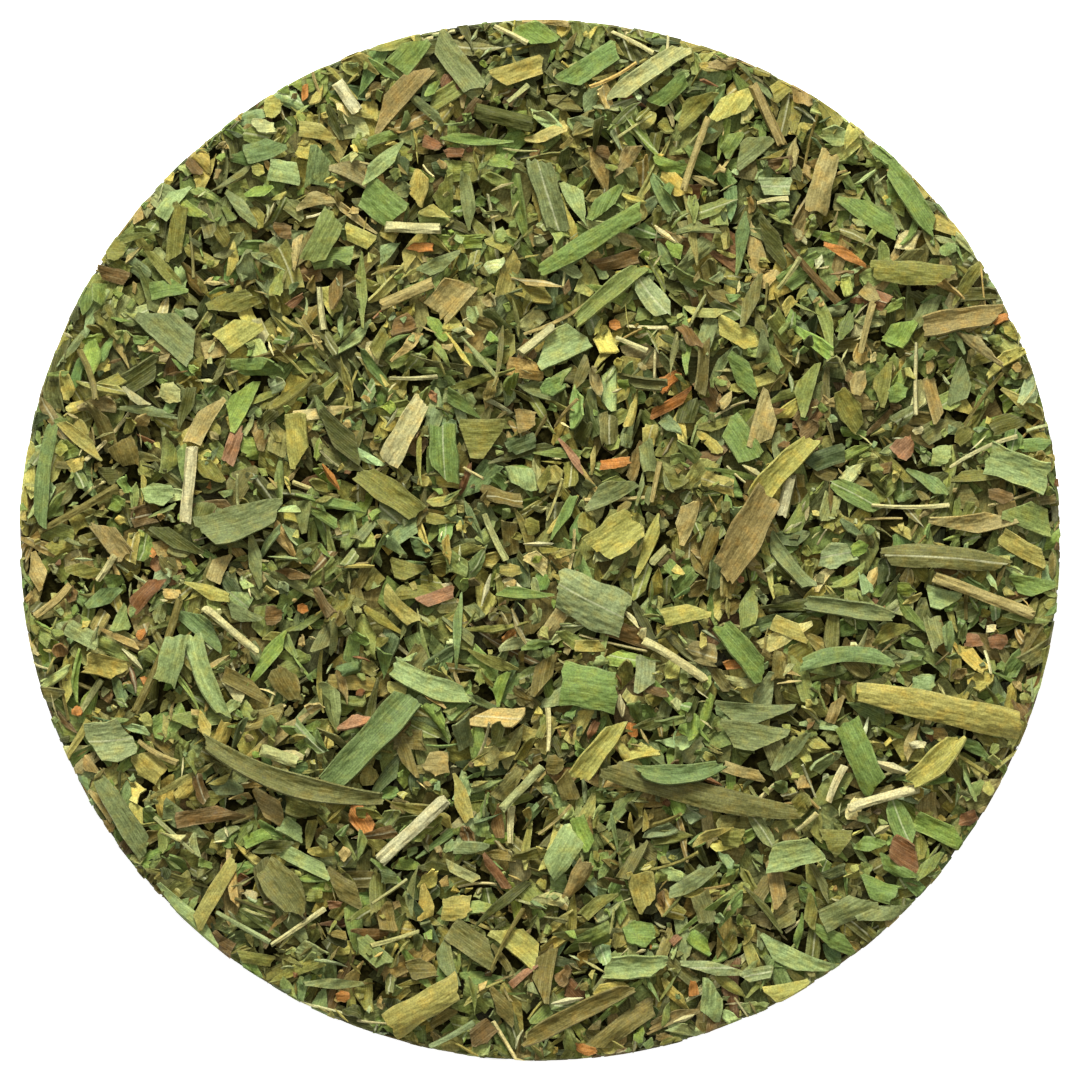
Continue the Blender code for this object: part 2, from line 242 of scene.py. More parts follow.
def new_rod(sides, rings):
    """A cylinder of unit size laid along X and cut into rings."""
    deselect_all()
    bpy.ops.mesh.primitive_cylinder_add(
        vertices=sides, radius=0.5, depth=1, end_fill_type="TRIFAN", rotation=(0, math.pi / 2, 0)
    )
    thing = bpy.context.object
    bpy.ops.object.transform_apply(location=True, rotation=True, scale=True)
    bpy.ops.object.mode_set(mode="EDIT")
    for ring in range(1, rings):
        bpy.ops.mesh.select_all(action="SELECT")
        bpy.ops.mesh.bisect(plane_co=(ring / rings - 0.5, 0, 0), plane_no=(1, 0, 0))
    bpy.ops.object.mode_set(mode="OBJECT")
    return thing


def give_wall(thing, thickness):
    wall = thing.modifiers.new("Leaf wall", "SOLIDIFY")
    wall.thickness = thickness
    wall.offset = 0.0
    bpy.ops.object.modifier_apply(modifier=wall.name)


def smooth(thing, degrees):
    """Shades a piece smooth, apart from edges sharper than the angle."""
    deselect_all()
    thing.select_set(True)
    bpy.context.view_layer.objects.active = thing
    bpy.ops.object.shade_smooth_by_angle(angle=math.radians(degrees))


def cut_off(co, no):
    """Cuts away what lies beyond a plane, in edit mode."""
    bpy.ops.mesh.select_all(action="SELECT")
    bpy.ops.mesh.bisect(plane_co=co, plane_no=no, clear_outer=True)


def slant_ends(draw, lean):
    """Cuts both ends of the sheet aslant."""
    for end in (-1, 1):
        angle = draw.uniform(-lean, lean)
        reach = 0.5 - 0.28 * abs(math.sin(angle))
        cut_off((end * reach, 0, 0), (end * math.cos(angle), math.sin(angle), 0))


def nip_corners(draw, count, reach):
    """Cuts corners off all round, for a torn piece."""
    for index in range(count):
        angle = 2 * math.pi * (index + draw.uniform(-0.35, 0.35)) / count
        toward = (math.cos(angle), math.sin(angle), 0)
        far = draw.uniform(*reach)
        cut_off((far * toward[0], far * toward[1], 0), toward)


def capture(thing, margin, solid):
    """The modelled shape as arrays of triangles; the object is removed."""
    mesh = thing.data
    mesh.calc_loop_triangles()
    points = np.empty(len(mesh.vertices) * 3, np.float32)
    mesh.vertices.foreach_get("co", points)
    faces = np.empty(len(mesh.loop_triangles) * 3, np.int32)
    mesh.loop_triangles.foreach_get("vertices", faces)
    bpy.data.objects.remove(thing)
    return Shape(points.reshape(-1, 3).astype(float), faces.reshape(-1, 3), margin, solid)


def model_sheet(columns, rows, draw, shaping, ragged, taper=None):
    """A leaf sheet: a grid that is cut to its outline, roughened at its edges and given a wall."""
    thing = new_sheet(columns, rows, lambda: shaping(draw))
    form = bmesh.new()
    form.from_mesh(thing.data)
    margin = [float(point.is_boundary) for point in form.verts]
    for point in form.verts:
        if taper:
            point.co.y *= taper(point.co.x + 0.5)
        if point.is_boundary:
            ended = abs(point.co.x) > 0.38
            point.co.x += draw.uniform(-1, 1) * ragged * (1.0 if ended else 0.3)
            point.co.y += draw.uniform(-1, 1) * ragged * 0.6
    form.to_mesh(thing.data)
    form.free()
    give_wall(thing, 1.0)
    return capture(thing, np.tile(margin, 2), False)


def model_rod(sides, rings, draw, ragged, taper=None, ridge=0.0):
    """A stalk: a cylinder laid along X, ringed, ridged and broken off raggedly."""
    thing = new_rod(sides, rings)
    for point in thing.data.vertices:
        around = math.atan2(point.co.z, point.co.y)
        share = point.co.x + 0.5
        size = (taper(share) if taper else 1) * (1 + ridge * (round(around * sides / (2 * math.pi)) % 2))
        point.co.y *= size
        point.co.z *= size
        if abs(point.co.x) > 0.49:
            point.co.x += draw.uniform(-1, 0.4) * ragged * math.copysign(1, point.co.x)
    return capture(thing, np.zeros(len(thing.data.vertices)), True)


def pointed(start, power):
    """A taper that runs to a point at the far end."""
    return lambda share: max(0.06, 1 - (max(0, share - start) / (1 - start)) ** power)


def swelling(least):
    """A taper that is widest in the middle."""
    return lambda share: least + (1 - least) * math.sin(math.pi * share)


def leaf_shaped(share):
    return max(0.1, (1 - (2 * share - 1) ** 4)) * (0.75 + 0.25 * share)


def model_shapes():
    """Every repeated form, modelled once."""
    draw = np.random.default_rng(41)

    def cut(lean):
        return lambda draw: slant_ends(draw, lean)

    def torn(count, reach):
        return lambda draw: nip_corners(draw, count, reach)

    SHAPES["strip"] = [model_sheet(5, 2, draw, cut(0.7), 0.04) for _ in range(12)]
    SHAPES["blade"] = [model_sheet(8, 2, draw, cut(1.0), 0.022, swelling(0.62)) for _ in range(6)]
    SHAPES["tip"] = [model_sheet(5, 2, draw, cut(0.5), 0.025, pointed(0.1 + 0.1 * k, 1.5)) for k in range(6)]
    SHAPES["leaf"] = [model_sheet(5, 2, draw, cut(0.2), 0.03, leaf_shaped) for _ in range(4)]
    SHAPES["torn"] = [model_sheet(4, 3, draw, torn(4 + k % 3, (0.34, 0.5)), 0.09) for k in range(14)]
    SHAPES["curl"] = [model_sheet(3, 5, draw, cut(0.8), 0.06) for _ in range(8)]
    SHAPES["cut"] = [model_sheet(8, 3, draw, cut(0.7), 0.03) for _ in range(12)]
    SHAPES["long"] = [model_sheet(12, 3, draw, cut(1.0), 0.016, swelling(0.6)) for _ in range(6)]
    SHAPES["frayed"] = [model_sheet(7, 4, draw, torn(4 + k % 3, (0.34, 0.5)), 0.06) for k in range(12)]
    SHAPES["plain"] = [model_sheet(2, 1, draw, cut(0.7), 0.06) for _ in range(6)]
    SHAPES["scrap"] = [model_sheet(2, 1, draw, torn(3 + k % 2, (0.26, 0.44)), 0.08) for k in range(8)]
    SHAPES["needle"] = [
        model_sheet(3, 1, draw, cut(0.9), 0.02, pointed(0.05 + 0.2 * k, 1.3)) for k in range(4)
    ]
    SHAPES["stalk"] = [model_rod(10, 3, draw, 0.06, None, -0.12) for _ in range(4)]
    SHAPES["stem"] = [model_rod(5, 5, draw, 0.02, lambda s: 0.75 + 0.25 * s) for _ in range(3)]
    SHAPES["splinter"] = [model_rod(4, 2, draw, 0.1, swelling(0.35)) for _ in range(3)]


# ---------------------------------------------------------------- laying copies of them

# How one copy lies. Lengths in metres, angles in radians; roll curls it across, arch along its length.
Lay = namedtuple(
    "Lay", "x y z turn lean_u lean_v length width thick roll arch sweep twist crumple phase tint midrib"
)
LAY_NUMBERS = [field for field in Lay._fields if field != "tint"]
NO_MIDRIB = 500  # millimetres from the midrib, where none shows
VARIANTS = 60  # a copy's variant is drawn below this, and wraps round the fewer that its kind has


def bent(shape, lay):
    """The points of each copy after it is curled, arched, twisted and swept, in its own frame."""
    x, y, side = (shape.points[None, :, k] for k in range(3))
    length, width, thick = (lay[k][:, None] for k in ("length", "width", "thick"))
    if shape.solid:
        across, up = y * width, side * thick
    else:
        roll = lay["roll"][:, None]
        radius = width / roll
        wall = side * thick
        across = (radius - wall) * np.sin(roll * y)
        up = radius - (radius - wall) * np.cos(roll * y)
    phase = lay["phase"][:, None]
    wave = (
        np.sin(5.1 * x + phase) * np.cos(4.3 * y + 2.1 * phase)
        + 0.5 * np.sin(9.7 * x + 3.3 * phase + 2 * y)
    )
    up = up + lay["crumple"][:, None] * wave
    twist = lay["twist"][:, None] * x
    across, up = across * np.cos(twist) - up * np.sin(twist), across * np.sin(twist) + up * np.cos(twist)
    arch = lay["arch"][:, None]
    radius = length / arch
    along = (radius - up) * np.sin(arch * x)
    up = radius - (radius - up) * np.cos(arch * x)
    across = across + lay["sweep"][:, None] * length * (1 - 4 * x**2)
    return along, across, up


def axes_of(turn, lean_u, lean_v):
    """The three axes of a copy that is turned and leans along and across."""
    cos, sin = np.cos(turn), np.sin(turn)
    along = np.stack([cos, sin, lean_u], -1)
    across = np.stack([-sin, cos, lean_v], -1)
    along /= np.linalg.norm(along, axis=-1, keepdims=True)
    up = np.cross(along, across)
    up /= np.linalg.norm(up, axis=-1, keepdims=True)
    return along, np.cross(up, along), up


class Heap:
    """Gathers copies of the shapes and turns them into one mesh object."""

    def __init__(self):
        self.lays = {}

    def add(self, kind, variant, lay):
        self.lays.setdefault((kind, variant % len(SHAPES[kind])), []).append(lay)

    @staticmethod
    def inside_rim(world, shape, table):
        """The points drawn in to the rim; each copy has its own limit, so that none share a plane there."""
        reach = np.hypot(world[..., 0], world[..., 1])
        side = 0 if shape.solid else (shape.points[None, :, 2] + 0.5) * table["thick"][:, None]
        limit = settings().radius - 0.02 * MM * table["phase"][:, None] - side
        world[..., :2] *= np.where(reach > limit, limit / np.maximum(reach, 1e-9), 1.0)[..., None]
        return world

    @staticmethod
    def leaf_coordinates(shape, table):
        """Millimetres along and across each copy, from its midrib; a stalk's run round it."""
        u = shape.points[None, :, 0] * table["length"][:, None] / MM + 37 * table["phase"][:, None]
        if shape.solid:
            around = np.arctan2(shape.points[:, 2], shape.points[:, 1])[None]
            v = around * table["width"][:, None] / 2 / MM + NO_MIDRIB
        else:
            v = shape.points[None, :, 1] * table["width"][:, None] / MM + table["midrib"][:, None]
        return np.stack(np.broadcast_arrays(u, v), -1).reshape(-1, 2)

    def build(self, name, floor=None):
        points, faces, tints, coords = [], [], [], []
        start = 0
        for (kind, variant), lays in self.lays.items():
            shape = SHAPES[kind][variant]
            table = {field: np.array([getattr(lay, field) for lay in lays], float) for field in LAY_NUMBERS}
            tint = np.array([lay.tint for lay in lays], float)
            along, across, up = (part[..., None] for part in bent(shape, table))
            ex, ey, ez = (axis[:, None] for axis in axes_of(table["turn"], table["lean_u"], table["lean_v"]))
            place = np.stack([table["x"], table["y"], table["z"]], -1)[:, None]
            world = self.inside_rim(place + along * ex + across * ey + up * ez, shape, table)
            if floor is not None:
                world[..., 2] = np.maximum(world[..., 2], floor)
            count, each = world.shape[:2]
            points.append(world.reshape(-1, 3))
            faces.append((shape.faces[None] + start + each * np.arange(count)[:, None, None]).reshape(-1, 3))
            start += count * each
            margin = np.broadcast_to(shape.margin[None, :, None], (count, each, 1))
            tint = np.broadcast_to(tint[:, None], (count, each, 3))
            tints.append(np.concatenate([tint, margin], -1).reshape(-1, 4))
            coords.append(self.leaf_coordinates(shape, table))
        return mesh_object(name, *map(np.concatenate, (points, faces, tints, coords)))


def mesh_object(name, points, faces, tints, coords):
    """A mesh object from arrays, with its tint and its leaf coordinates."""
    mesh = bpy.data.meshes.new(name)
    mesh.vertices.add(len(points))
    mesh.vertices.foreach_set("co", points.astype(np.float32).ravel())
    mesh.loops.add(faces.size)
    mesh.loops.foreach_set("vertex_index", faces.astype(np.int32).ravel())
    mesh.polygons.add(len(faces))
    mesh.polygons.foreach_set("loop_start", np.arange(0, faces.size, 3, dtype=np.int32))
    tint = mesh.attributes.new("tint", "FLOAT_COLOR", "POINT")
    tint.data.foreach_set("color", tints.astype(np.float32).ravel())
    leaf = mesh.uv_layers.new(name="leaf")
    leaf.data.foreach_set("uv", coords[faces.ravel()].astype(np.float32).ravel())
    mesh.update(calc_edges=True)
    mesh.validate()
    made = bpy.data.objects.new(name, mesh)
    bpy.context.scene.collection.objects.link(made)
    smooth(made, 40)
    return made


# ---------------------------------------------------------------- the pile's surface


def surface_tree(mesh):
    return BVHTree.FromPolygons(
        [v.co for v in mesh.vertices], [tuple(face.vertices) for face in mesh.polygons]
    )


class Pile:
    """The height of what lies in the bed so far, in small square cells."""

    CELL = 0.3 * MM
    EDGE = 2.6 * MM  # the bed's top is read so far inside its rim and carried out from there
    STEEPEST, STEEPEST_AT_RIM = 0.9, 0.3  # slopes that a loose flake may lie at
    DEEPEST_SINK = 1.5 * MM

    def __init__(self):
        self.radius = settings().radius
        self.count = int(2 * (self.radius + 2 * MM) / self.CELL) + 1
        line = (np.arange(self.count) - self.count // 2) * self.CELL
        self.x, self.y = np.meshgrid(line, line, indexing="ij")
        self.reach = np.hypot(self.x, self.y)
        self.inside = self.reach < self.radius - 0.2 * MM
        self.target = self.surface_of_bed()
        self.height = np.full(self.target.shape, settings().heart_height)
        self.ceiling = np.full(self.target.shape, 1.0)
        self.crest = self.target.copy()
        self.taken = np.zeros(self.target.shape, bool)

    def surface_of_bed(self):
        """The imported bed's top, carried out to the rim and smoothed."""
        tree = surface_tree(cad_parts[BED_NODE].data)
        limit = self.radius - self.EDGE
        heights = np.full(self.x.shape, np.nan)
        step = 3
        for i in range(0, self.count, step):
            for j in range(0, self.count, step):
                x, y = self.x[i, j], self.y[i, j]
                scale = min(1.0, limit / max(1e-9, math.hypot(x, y)))
                hit = tree.ray_cast(Vector((x * scale, y * scale, 0.05)), Vector((0, 0, -1)))[0]
                heights[i : i + step, j : j + step] = hit.z
        for _ in range(3):
            padded = np.pad(heights, 2, mode="edge")
            moved = (padded[a : a + self.count, b : b + self.count] for a in (0, 2, 4) for b in (0, 2, 4))
            heights = sum(moved) / 9
        return heights

    def cells(self, x, y):
        middle = self.count // 2
        i = np.clip(np.rint(x / self.CELL).astype(int) + middle, 0, self.count - 1)
        j = np.clip(np.rint(y / self.CELL).astype(int) + middle, 0, self.count - 1)
        return i, j

    def lowest_of(self, draw, tries, inset=0.0):
        """The place where the pile lacks most, of a few tried at random."""
        reach = (self.radius - inset) * np.sqrt(draw.random(tries))
        around = draw.random(tries) * 2 * math.pi
        x, y = reach * np.cos(around), reach * np.sin(around)
        cell = self.cells(x, y)
        lacking = self.target[cell] - self.height[cell]
        best = int(np.argmax(lacking))
        return x[best], y[best], lacking[best]

    def footprint(self, lay, x, y):
        """The cells under a copy, with its own coordinates along and across at each."""
        length, width, turn = lay["length"], lay["width"], lay["turn"]
        across_count = max(2, int(width / self.CELL) + 1)
        along_count = max(2, int(length / self.CELL) + 1)
        u = np.repeat(np.linspace(-0.5, 0.5, along_count), across_count) * length * 0.96
        v = np.tile(np.linspace(-0.5, 0.5, across_count), along_count) * width * 0.94
        px = x + u * math.cos(turn) - v * math.sin(turn)
        py = y + u * math.sin(turn) + v * math.cos(turn)
        within = np.hypot(px, py) < self.radius
        return u[within], v[within], self.cells(px[within], py[within])

    @staticmethod
    def fitted(ground, u, v, lay, steepest, contact, extra=(0, 0)):
        """How a copy rests on the ground under it: z, its form over the cells, and its two leans."""
        offset = ground - ground.mean()
        lean_u = np.clip((offset * u).sum() / max(1e-12, (u * u).sum()) + extra[0], -steepest, steepest)
        lean_v = np.clip((offset * v).sum() / max(1e-12, (v * v).sum()) + extra[1], -steepest, steepest)
        form = lean_u * u + lean_v * v
        form = form + lay["arch"] * u * u / (2 * lay["length"]) + lay["roll"] * v * v / (2 * lay["width"])
        gaps = np.sort(ground - form)
        return gaps[min(len(gaps) - 1, int(contact * len(gaps)))] + lay["thick"] / 2, form, lean_u, lean_v

    def settle(self, lay, x, y, contact, extra=(0, 0)):
        """The lay of a loose flake with its place, or None where something lies over it."""
        u, v, cell = self.footprint(lay, x, y)
        if len(u) < 4:
            return None
        steepest = self.STEEPEST
        if math.hypot(x, y) > self.radius - 0.6 * lay["length"]:
            steepest, extra = self.STEEPEST_AT_RIM, (0, 0)
        z, form, lean_u, lean_v = self.fitted(self.height[cell], u, v, lay, steepest, contact, extra)
        top = z + form + lay["thick"] / 2
        if (top > self.ceiling[cell]).any():
            return None
        self.height[cell] = np.maximum(self.height[cell], top)
        return Lay(x=x, y=y, z=z, lean_u=lean_u, lean_v=lean_v, **lay)

    def perch(self, lay, x, y, ceiling):
        """The lay of a piece that stands out: on the surface the heap will reach, below the long ones."""
        u, v, cell = self.footprint(lay, x, y)
        z, form, lean_u, lean_v = self.fitted(self.crest[cell], u, v, lay, 0.35, 0.8)
        over = (z + form + lay["thick"] / 2 - ceiling[cell]).max()
        if 0 < over < self.DEEPEST_SINK:
            z -= over
        self.crest[cell] = np.maximum(self.crest[cell], z + form + lay["thick"] / 2)
        self.ceiling[cell] = np.minimum(self.ceiling[cell], z + form - lay["thick"] / 2)
        self.taken[cell] = True
        return Lay(x=x, y=y, z=z, lean_u=lean_u, lean_v=lean_v, **lay)


# ---------------------------------------------------------------- materials


class Nodes:
    """Short calls for wiring a node tree."""

    def __init__(self, tree):
        self.tree = tree
        tree.nodes.clear()

    def add(self, kind, **fields):
        made = self.tree.nodes.new("ShaderNode" + kind if not kind.startswith("Node") else kind)
        for field, value in fields.items():
            setattr(made, field, value)
        return made

    def feed(self, node, **inputs):
        """Sets or links a node's inputs, named with underscores for spaces."""
        for name, value in inputs.items():
            socket = self.socket(node, name)
            if isinstance(value, bpy.types.NodeSocket):
                self.tree.links.new(value, socket)
            else:
                socket.default_value = value
        return node

    @staticmethod
    def socket(node, name):
        if name.startswith("i") and name[1:].isdigit():
            return node.inputs[int(name[1:])]
        return node.inputs[name.replace("_", " ")]

    def math(self, operation, a, b=0.0, clamp=False):
        return self.feed(self.add("Math", operation=operation, use_clamp=clamp), i0=a, i1=b).outputs[0]

    def noise(self, vector, scale, detail=2.0, roughness=0.5):
        made = self.add("TexNoise")
        return self.feed(made, Vector=vector, Scale=scale, Detail=detail, Roughness=roughness).outputs["Fac"]

    def spread(self, value, low, high, to_low=0.0, to_high=1.0):
        made = self.add("MapRange")
        return self.feed(
            made, Value=value, From_Min=low, From_Max=high, To_Min=to_low, To_Max=to_high
        ).outputs[0]

    def mix(self, factor, a, b, blend="MIX"):
        made = self.add("Mix", data_type="RGBA", blend_type=blend)
        self.feed(made, i0=factor, i6=a, i7=b)
        return made.outputs[2]


def new_group(name, inputs, outputs):
    """An empty node group with named sockets, as (tree, nodes, its input node, its output node)."""
    tree = bpy.data.node_groups.new(name, "ShaderNodeTree")
    for label, kind, value in inputs:
        socket = tree.interface.new_socket(label, in_out="INPUT", socket_type=kind)
        if value is not None:
            socket.default_value = value
    for label, kind in outputs:
        tree.interface.new_socket(label, in_out="OUTPUT", socket_type=kind)
    nodes = Nodes(tree)
    return tree, nodes, nodes.add("NodeGroupInput"), nodes.add("NodeGroupOutput")


FLOAT, VECTOR = "NodeSocketFloat", "NodeSocketVector"


def veins_group():
    """Fine parallel veins, their fibre and a pale midrib, from leaf coordinates in millimetres."""
    tree, nodes, given, result = new_group(
        "Parallel veins",
        [
            ("Leaf", VECTOR, None),
            ("Spacing", FLOAT, 0.22),
            ("Wander", FLOAT, 0.16),
            ("Midrib Width", FLOAT, 0.13),
        ],
        [("Veins", FLOAT), ("Midrib", FLOAT), ("Fibre", FLOAT), ("Wrinkles", FLOAT)],
    )
    parts = nodes.feed(nodes.add("SeparateXYZ"), Vector=given.outputs["Leaf"])
    long_way = nodes.math("MULTIPLY", parts.outputs["X"], 0.22)
    stretched = nodes.feed(
        nodes.add("CombineXYZ"), X=long_way, Y=nodes.math("MULTIPLY", parts.outputs["Y"], 2.6)
    )
    fibre = nodes.noise(stretched.outputs[0], 1.5, 2.0, 0.6)
    drawn_out = nodes.feed(nodes.add("Mapping"), Vector=given.outputs["Leaf"], Scale=(0.7, 1.5, 1.0))
    nodes.feed(result, Wrinkles=nodes.noise(drawn_out.outputs[0], 1.0, 1.5, 0.5))
    wander = nodes.math("MULTIPLY", nodes.math("SUBTRACT", fibre, 0.5), given.outputs["Wander"])
    across = nodes.math("ADD", parts.outputs["Y"], wander)
    turns = nodes.math("MULTIPLY", nodes.math("DIVIDE", across, given.outputs["Spacing"]), 2 * math.pi)
    wave = nodes.math("MULTIPLY_ADD", nodes.math("SINE", turns), 0.5)
    wave.node.inputs[2].default_value = 0.5
    near = nodes.math("DIVIDE", nodes.math("ABSOLUTE", across), given.outputs["Midrib Width"])
    veins = nodes.math("MULTIPLY", nodes.math("POWER", wave, 2.0), nodes.spread(fibre, 0.35, 0.65))
    nodes.feed(result, Veins=veins, Midrib=nodes.math("SUBTRACT", 1.0, near, clamp=True), Fibre=fibre)
    return tree


def mottle_group():
    """Uneven drying: broad patches, soft spots and a fine grain, from object coordinates."""
    tree, nodes, given, result = new_group(
        "Dried mottling",
        [
            ("Vector", VECTOR, None),
            ("Patch Scale", FLOAT, 420.0),
            ("Spot Scale", FLOAT, 950.0),
            ("Grain Scale", FLOAT, 5200.0),
        ],
        [("Patches", FLOAT), ("Spots", FLOAT), ("Grain", FLOAT)],
    )
    place = given.outputs["Vector"]
    patches = nodes.noise(place, given.outputs["Patch Scale"], 2.0, 0.6)
    spots = nodes.noise(place, given.outputs["Spot Scale"], 1.0, 0.6)
    nodes.feed(result, Patches=nodes.spread(patches, 0.36, 0.66))
    nodes.feed(result, Spots=nodes.spread(spots, 0.45, 0.75))
    nodes.feed(result, Grain=nodes.noise(place, given.outputs["Grain Scale"], 1.0, 0.7))
    return tree


def margin_group():
    """Wear along a cut or torn margin, broken up by a mask."""
    tree, nodes, given, result = new_group(
        "Margin wear",
        [("Margin", FLOAT, 0.0), ("Break", FLOAT, 1.0), ("Sharpness", FLOAT, 3.0)],
        [("Wear", FLOAT)],
    )
    sharp = nodes.math("POWER", given.outputs["Margin"], given.outputs["Sharpness"])
    nodes.feed(result, Wear=nodes.math("MULTIPLY", sharp, given.outputs["Break"]))
    return tree


def group_node(nodes, tree, **inputs):
    made = nodes.add("Group")
    made.node_tree = tree
    return nodes.feed(made, **inputs)


def leaf_material(name, groups, veins, patches, margin, roughness=None, stalk=False):
    """Dried leaf or straw: its own tint, with veins, uneven drying and worn margins."""
    finish = bpy.context.scene.tarragon_finish
    made = bpy.data.materials.new(name)
    made.use_nodes = True
    nodes = Nodes(made.node_tree)
    tint = nodes.add("Attribute", attribute_name="tint")
    leaf = nodes.add("UVMap", uv_map="leaf").outputs[0]
    place = nodes.add("TexCoord").outputs["Object"]
    vein = group_node(
        nodes, groups["veins"], Leaf=leaf, Spacing=finish.vein_spacing * (0.6 if stalk else 1.0)
    )
    mottle = group_node(nodes, groups["mottle"], Vector=place)
    wear = group_node(nodes, groups["margin"], Margin=tint.outputs["Alpha"], Break=mottle.outputs["Grain"])
    base = tint.outputs["Color"]
    darker = nodes.mix(1.0, base, (0.62, 0.62, 0.5, 1), "MULTIPLY")
    colour = nodes.mix(nodes.math("MULTIPLY", mottle.outputs["Patches"], patches), base, darker)
    tanned = nodes.mix(1.0, base, (1.25, 1.0, 0.66, 1), "MULTIPLY")
    colour = nodes.mix(nodes.math("MULTIPLY", mottle.outputs["Spots"], patches), colour, tanned)
    paler = nodes.mix(0.5, nodes.mix(1.0, base, (1.5, 1.5, 1.5, 1), "MULTIPLY"), (0.42, 0.42, 0.24, 1))
    fibre = nodes.spread(vein.outputs["Fibre"], 0.3, 0.7, 0.8, 1.18)
    colour = nodes.mix(nodes.math("MULTIPLY", vein.outputs["Veins"], veins), colour, paler)
    palest = nodes.mix(0.75, paler, (0.62, 0.62, 0.38, 1))
    colour = nodes.mix(nodes.math("MULTIPLY", vein.outputs["Midrib"], 0.55), colour, palest)
    colour = nodes.mix(nodes.math("MULTIPLY", wear.outputs["Wear"], margin), colour, paler)
    fibre = nodes.math("MULTIPLY", fibre, nodes.spread(mottle.outputs["Grain"], 0.3, 0.7, 0.74, 1.26))
    shade = nodes.feed(nodes.add("CombineColor"), Red=fibre, Green=fibre, Blue=fibre).outputs[0]
    colour = nodes.mix(1.0, colour, shade, "MULTIPLY")
    grain = nodes.spread(mottle.outputs["Grain"], 0.3, 0.7, -0.12, 0.12)
    level = roughness if roughness is not None else finish.leaf_roughness
    rough = nodes.math("ADD", grain, level, clamp=True)
    bump = nodes.feed(nodes.add("Bump"), Strength=0.9, Distance=0.00036, Height=vein.outputs["Wrinkles"])
    shader = nodes.feed(
        nodes.add("BsdfPrincipled"), Base_Color=colour, Roughness=rough, Normal=bump.outputs[0]
    )
    shader.inputs["Specular IOR Level"].default_value = 0.13
    nodes.feed(nodes.add("OutputMaterial"), Surface=shader.outputs[0])
    return made


def heart_shade_material(groups):
    """Painted shade: the near-black mat deep in the bed, coloured to stand for the shadow in the gaps between
    the flakes.
    """
    made = bpy.data.materials.new("matted_heart")
    made.use_nodes = True
    nodes = Nodes(made.node_tree)
    place = nodes.add("TexCoord").outputs["Object"]
    mottle = group_node(nodes, groups["mottle"], Vector=place, Patch_Scale=900.0)
    # Near-black painted shade for the gaps, with a few lighter spots
    colour = nodes.mix(mottle.outputs["Patches"], (0.006, 0.005, 0.0006, 1), (0.025, 0.023, 0.004, 1))
    colour = nodes.mix(nodes.math("MULTIPLY", mottle.outputs["Spots"], 0.5), colour, (0.06, 0.05, 0.012, 1))
    bump = nodes.feed(nodes.add("Bump"), Strength=1.0, Distance=0.0004, Height=mottle.outputs["Patches"])
    rough = nodes.spread(mottle.outputs["Grain"], 0.3, 0.7, 0.8, 1.0)
    shader = nodes.feed(
        nodes.add("BsdfPrincipled"), Base_Color=colour, Roughness=rough, Normal=bump.outputs[0]
    )
    shader.inputs["Specular IOR Level"].default_value = 0.05
    nodes.feed(nodes.add("OutputMaterial"), Surface=shader.outputs[0])
    return made


def make_materials():
    groups = {"veins": veins_group(), "mottle": mottle_group(), "margin": margin_group()}
    straw = bpy.context.scene.tarragon_finish.stalk_roughness
    return {
        "veined": leaf_material("veined_leaf", groups, veins=0.24, patches=0.7, margin=0.32),
        "plain": leaf_material("crumbled_leaf", groups, veins=0.12, patches=0.85, margin=0.2, roughness=0.72),
        "straw": leaf_material(
            "dry_straw", groups, veins=0.3, patches=0.35, margin=0.0, roughness=straw, stalk=True
        ),
        "heart": heart_shade_material(groups),
    }


SCENE = {}


def keep(thing, material, nodes=(BED_NODE,)):
    """Gives a finished piece its material and its place in the bed."""
    thing.data.materials.clear()
    thing.data.materials.append(SCENE["materials"][material])
    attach(thing, "root")
    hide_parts(*nodes)
    return thing


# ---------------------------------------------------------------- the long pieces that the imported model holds

# Their colours, in the order of the model's names
NODE_COLOURS = {
    "leaf_blade": (
        "green blue_green olive_yellow grey_olive grey_olive grey_olive grey_green blue_green blue_green "
        "grey_green brown_olive light_green blue_green"
    ).split(),
    "leaf_tip": (
        "grey_green green yellow_green grey_olive yellow_green yellow_green light_green light_green"
    ).split(),
    "leaf_strip": (
        "grey_green straw_green olive_green straw green olive yellow_green tan_brown pale_green green green "
        "light_green tan olive tan_brown light_green green olive_yellow light_green olive_green light_green "
        "olive_yellow pale_green"
    ).split(),
    "stalk": "cream cream straw cream straw_green cream tan".split(),
    "stem": "brown_olive straw straw straw_green tan".split(),
}
WITH_MIDRIB = {"leaf_strip_01", "leaf_strip_05", "leaf_strip_09", "leaf_strip_23", "leaf_blade_06"}
SPLIT_STALKS = {"stalk_02", "stalk_07"}
SLIMMER = {"leaf_blade_02": 0.76}  # narrower in the photograph than its body
DRESSED_THICKNESS = 0.24 * MM
COLUMN_STEP, RING_STEP = 0.55 * MM, 0.7 * MM  # between a long piece's cross-sections
PUT_DOWN = -0.1 * MM  # the pieces' bodies are thicker than real leaf, so their skins lie a little lower


def stations_of(node, each):
    """The middles and half spans of a node's cross-sections, each of so many points, from tail to tip."""
    points = np.array([v.co for v in node.data.vertices])
    points = points[np.unique(np.round(points / (0.001 * MM)).astype(int), axis=0, return_index=True)[1]]
    middle = points.mean(axis=0)
    direction = np.linalg.svd(points - middle, full_matrices=False)[2][0]
    direction *= 1 if direction[0] + 0.01 * direction[1] > 0 else -1
    across = np.cross([0, 0, 1], direction)
    across /= np.linalg.norm(across)
    ordered = points[np.argsort((points - middle) @ direction)]
    groups = np.array_split(ordered, len(ordered) // each)
    centres = np.array([group.mean(axis=0) for group in groups])
    widths = [group @ across for group in groups]
    spans = [group[np.argmax(wide)] - group[np.argmin(wide)] for group, wide in zip(groups, widths)]
    halves = np.array(spans) / 2
    return centres, halves


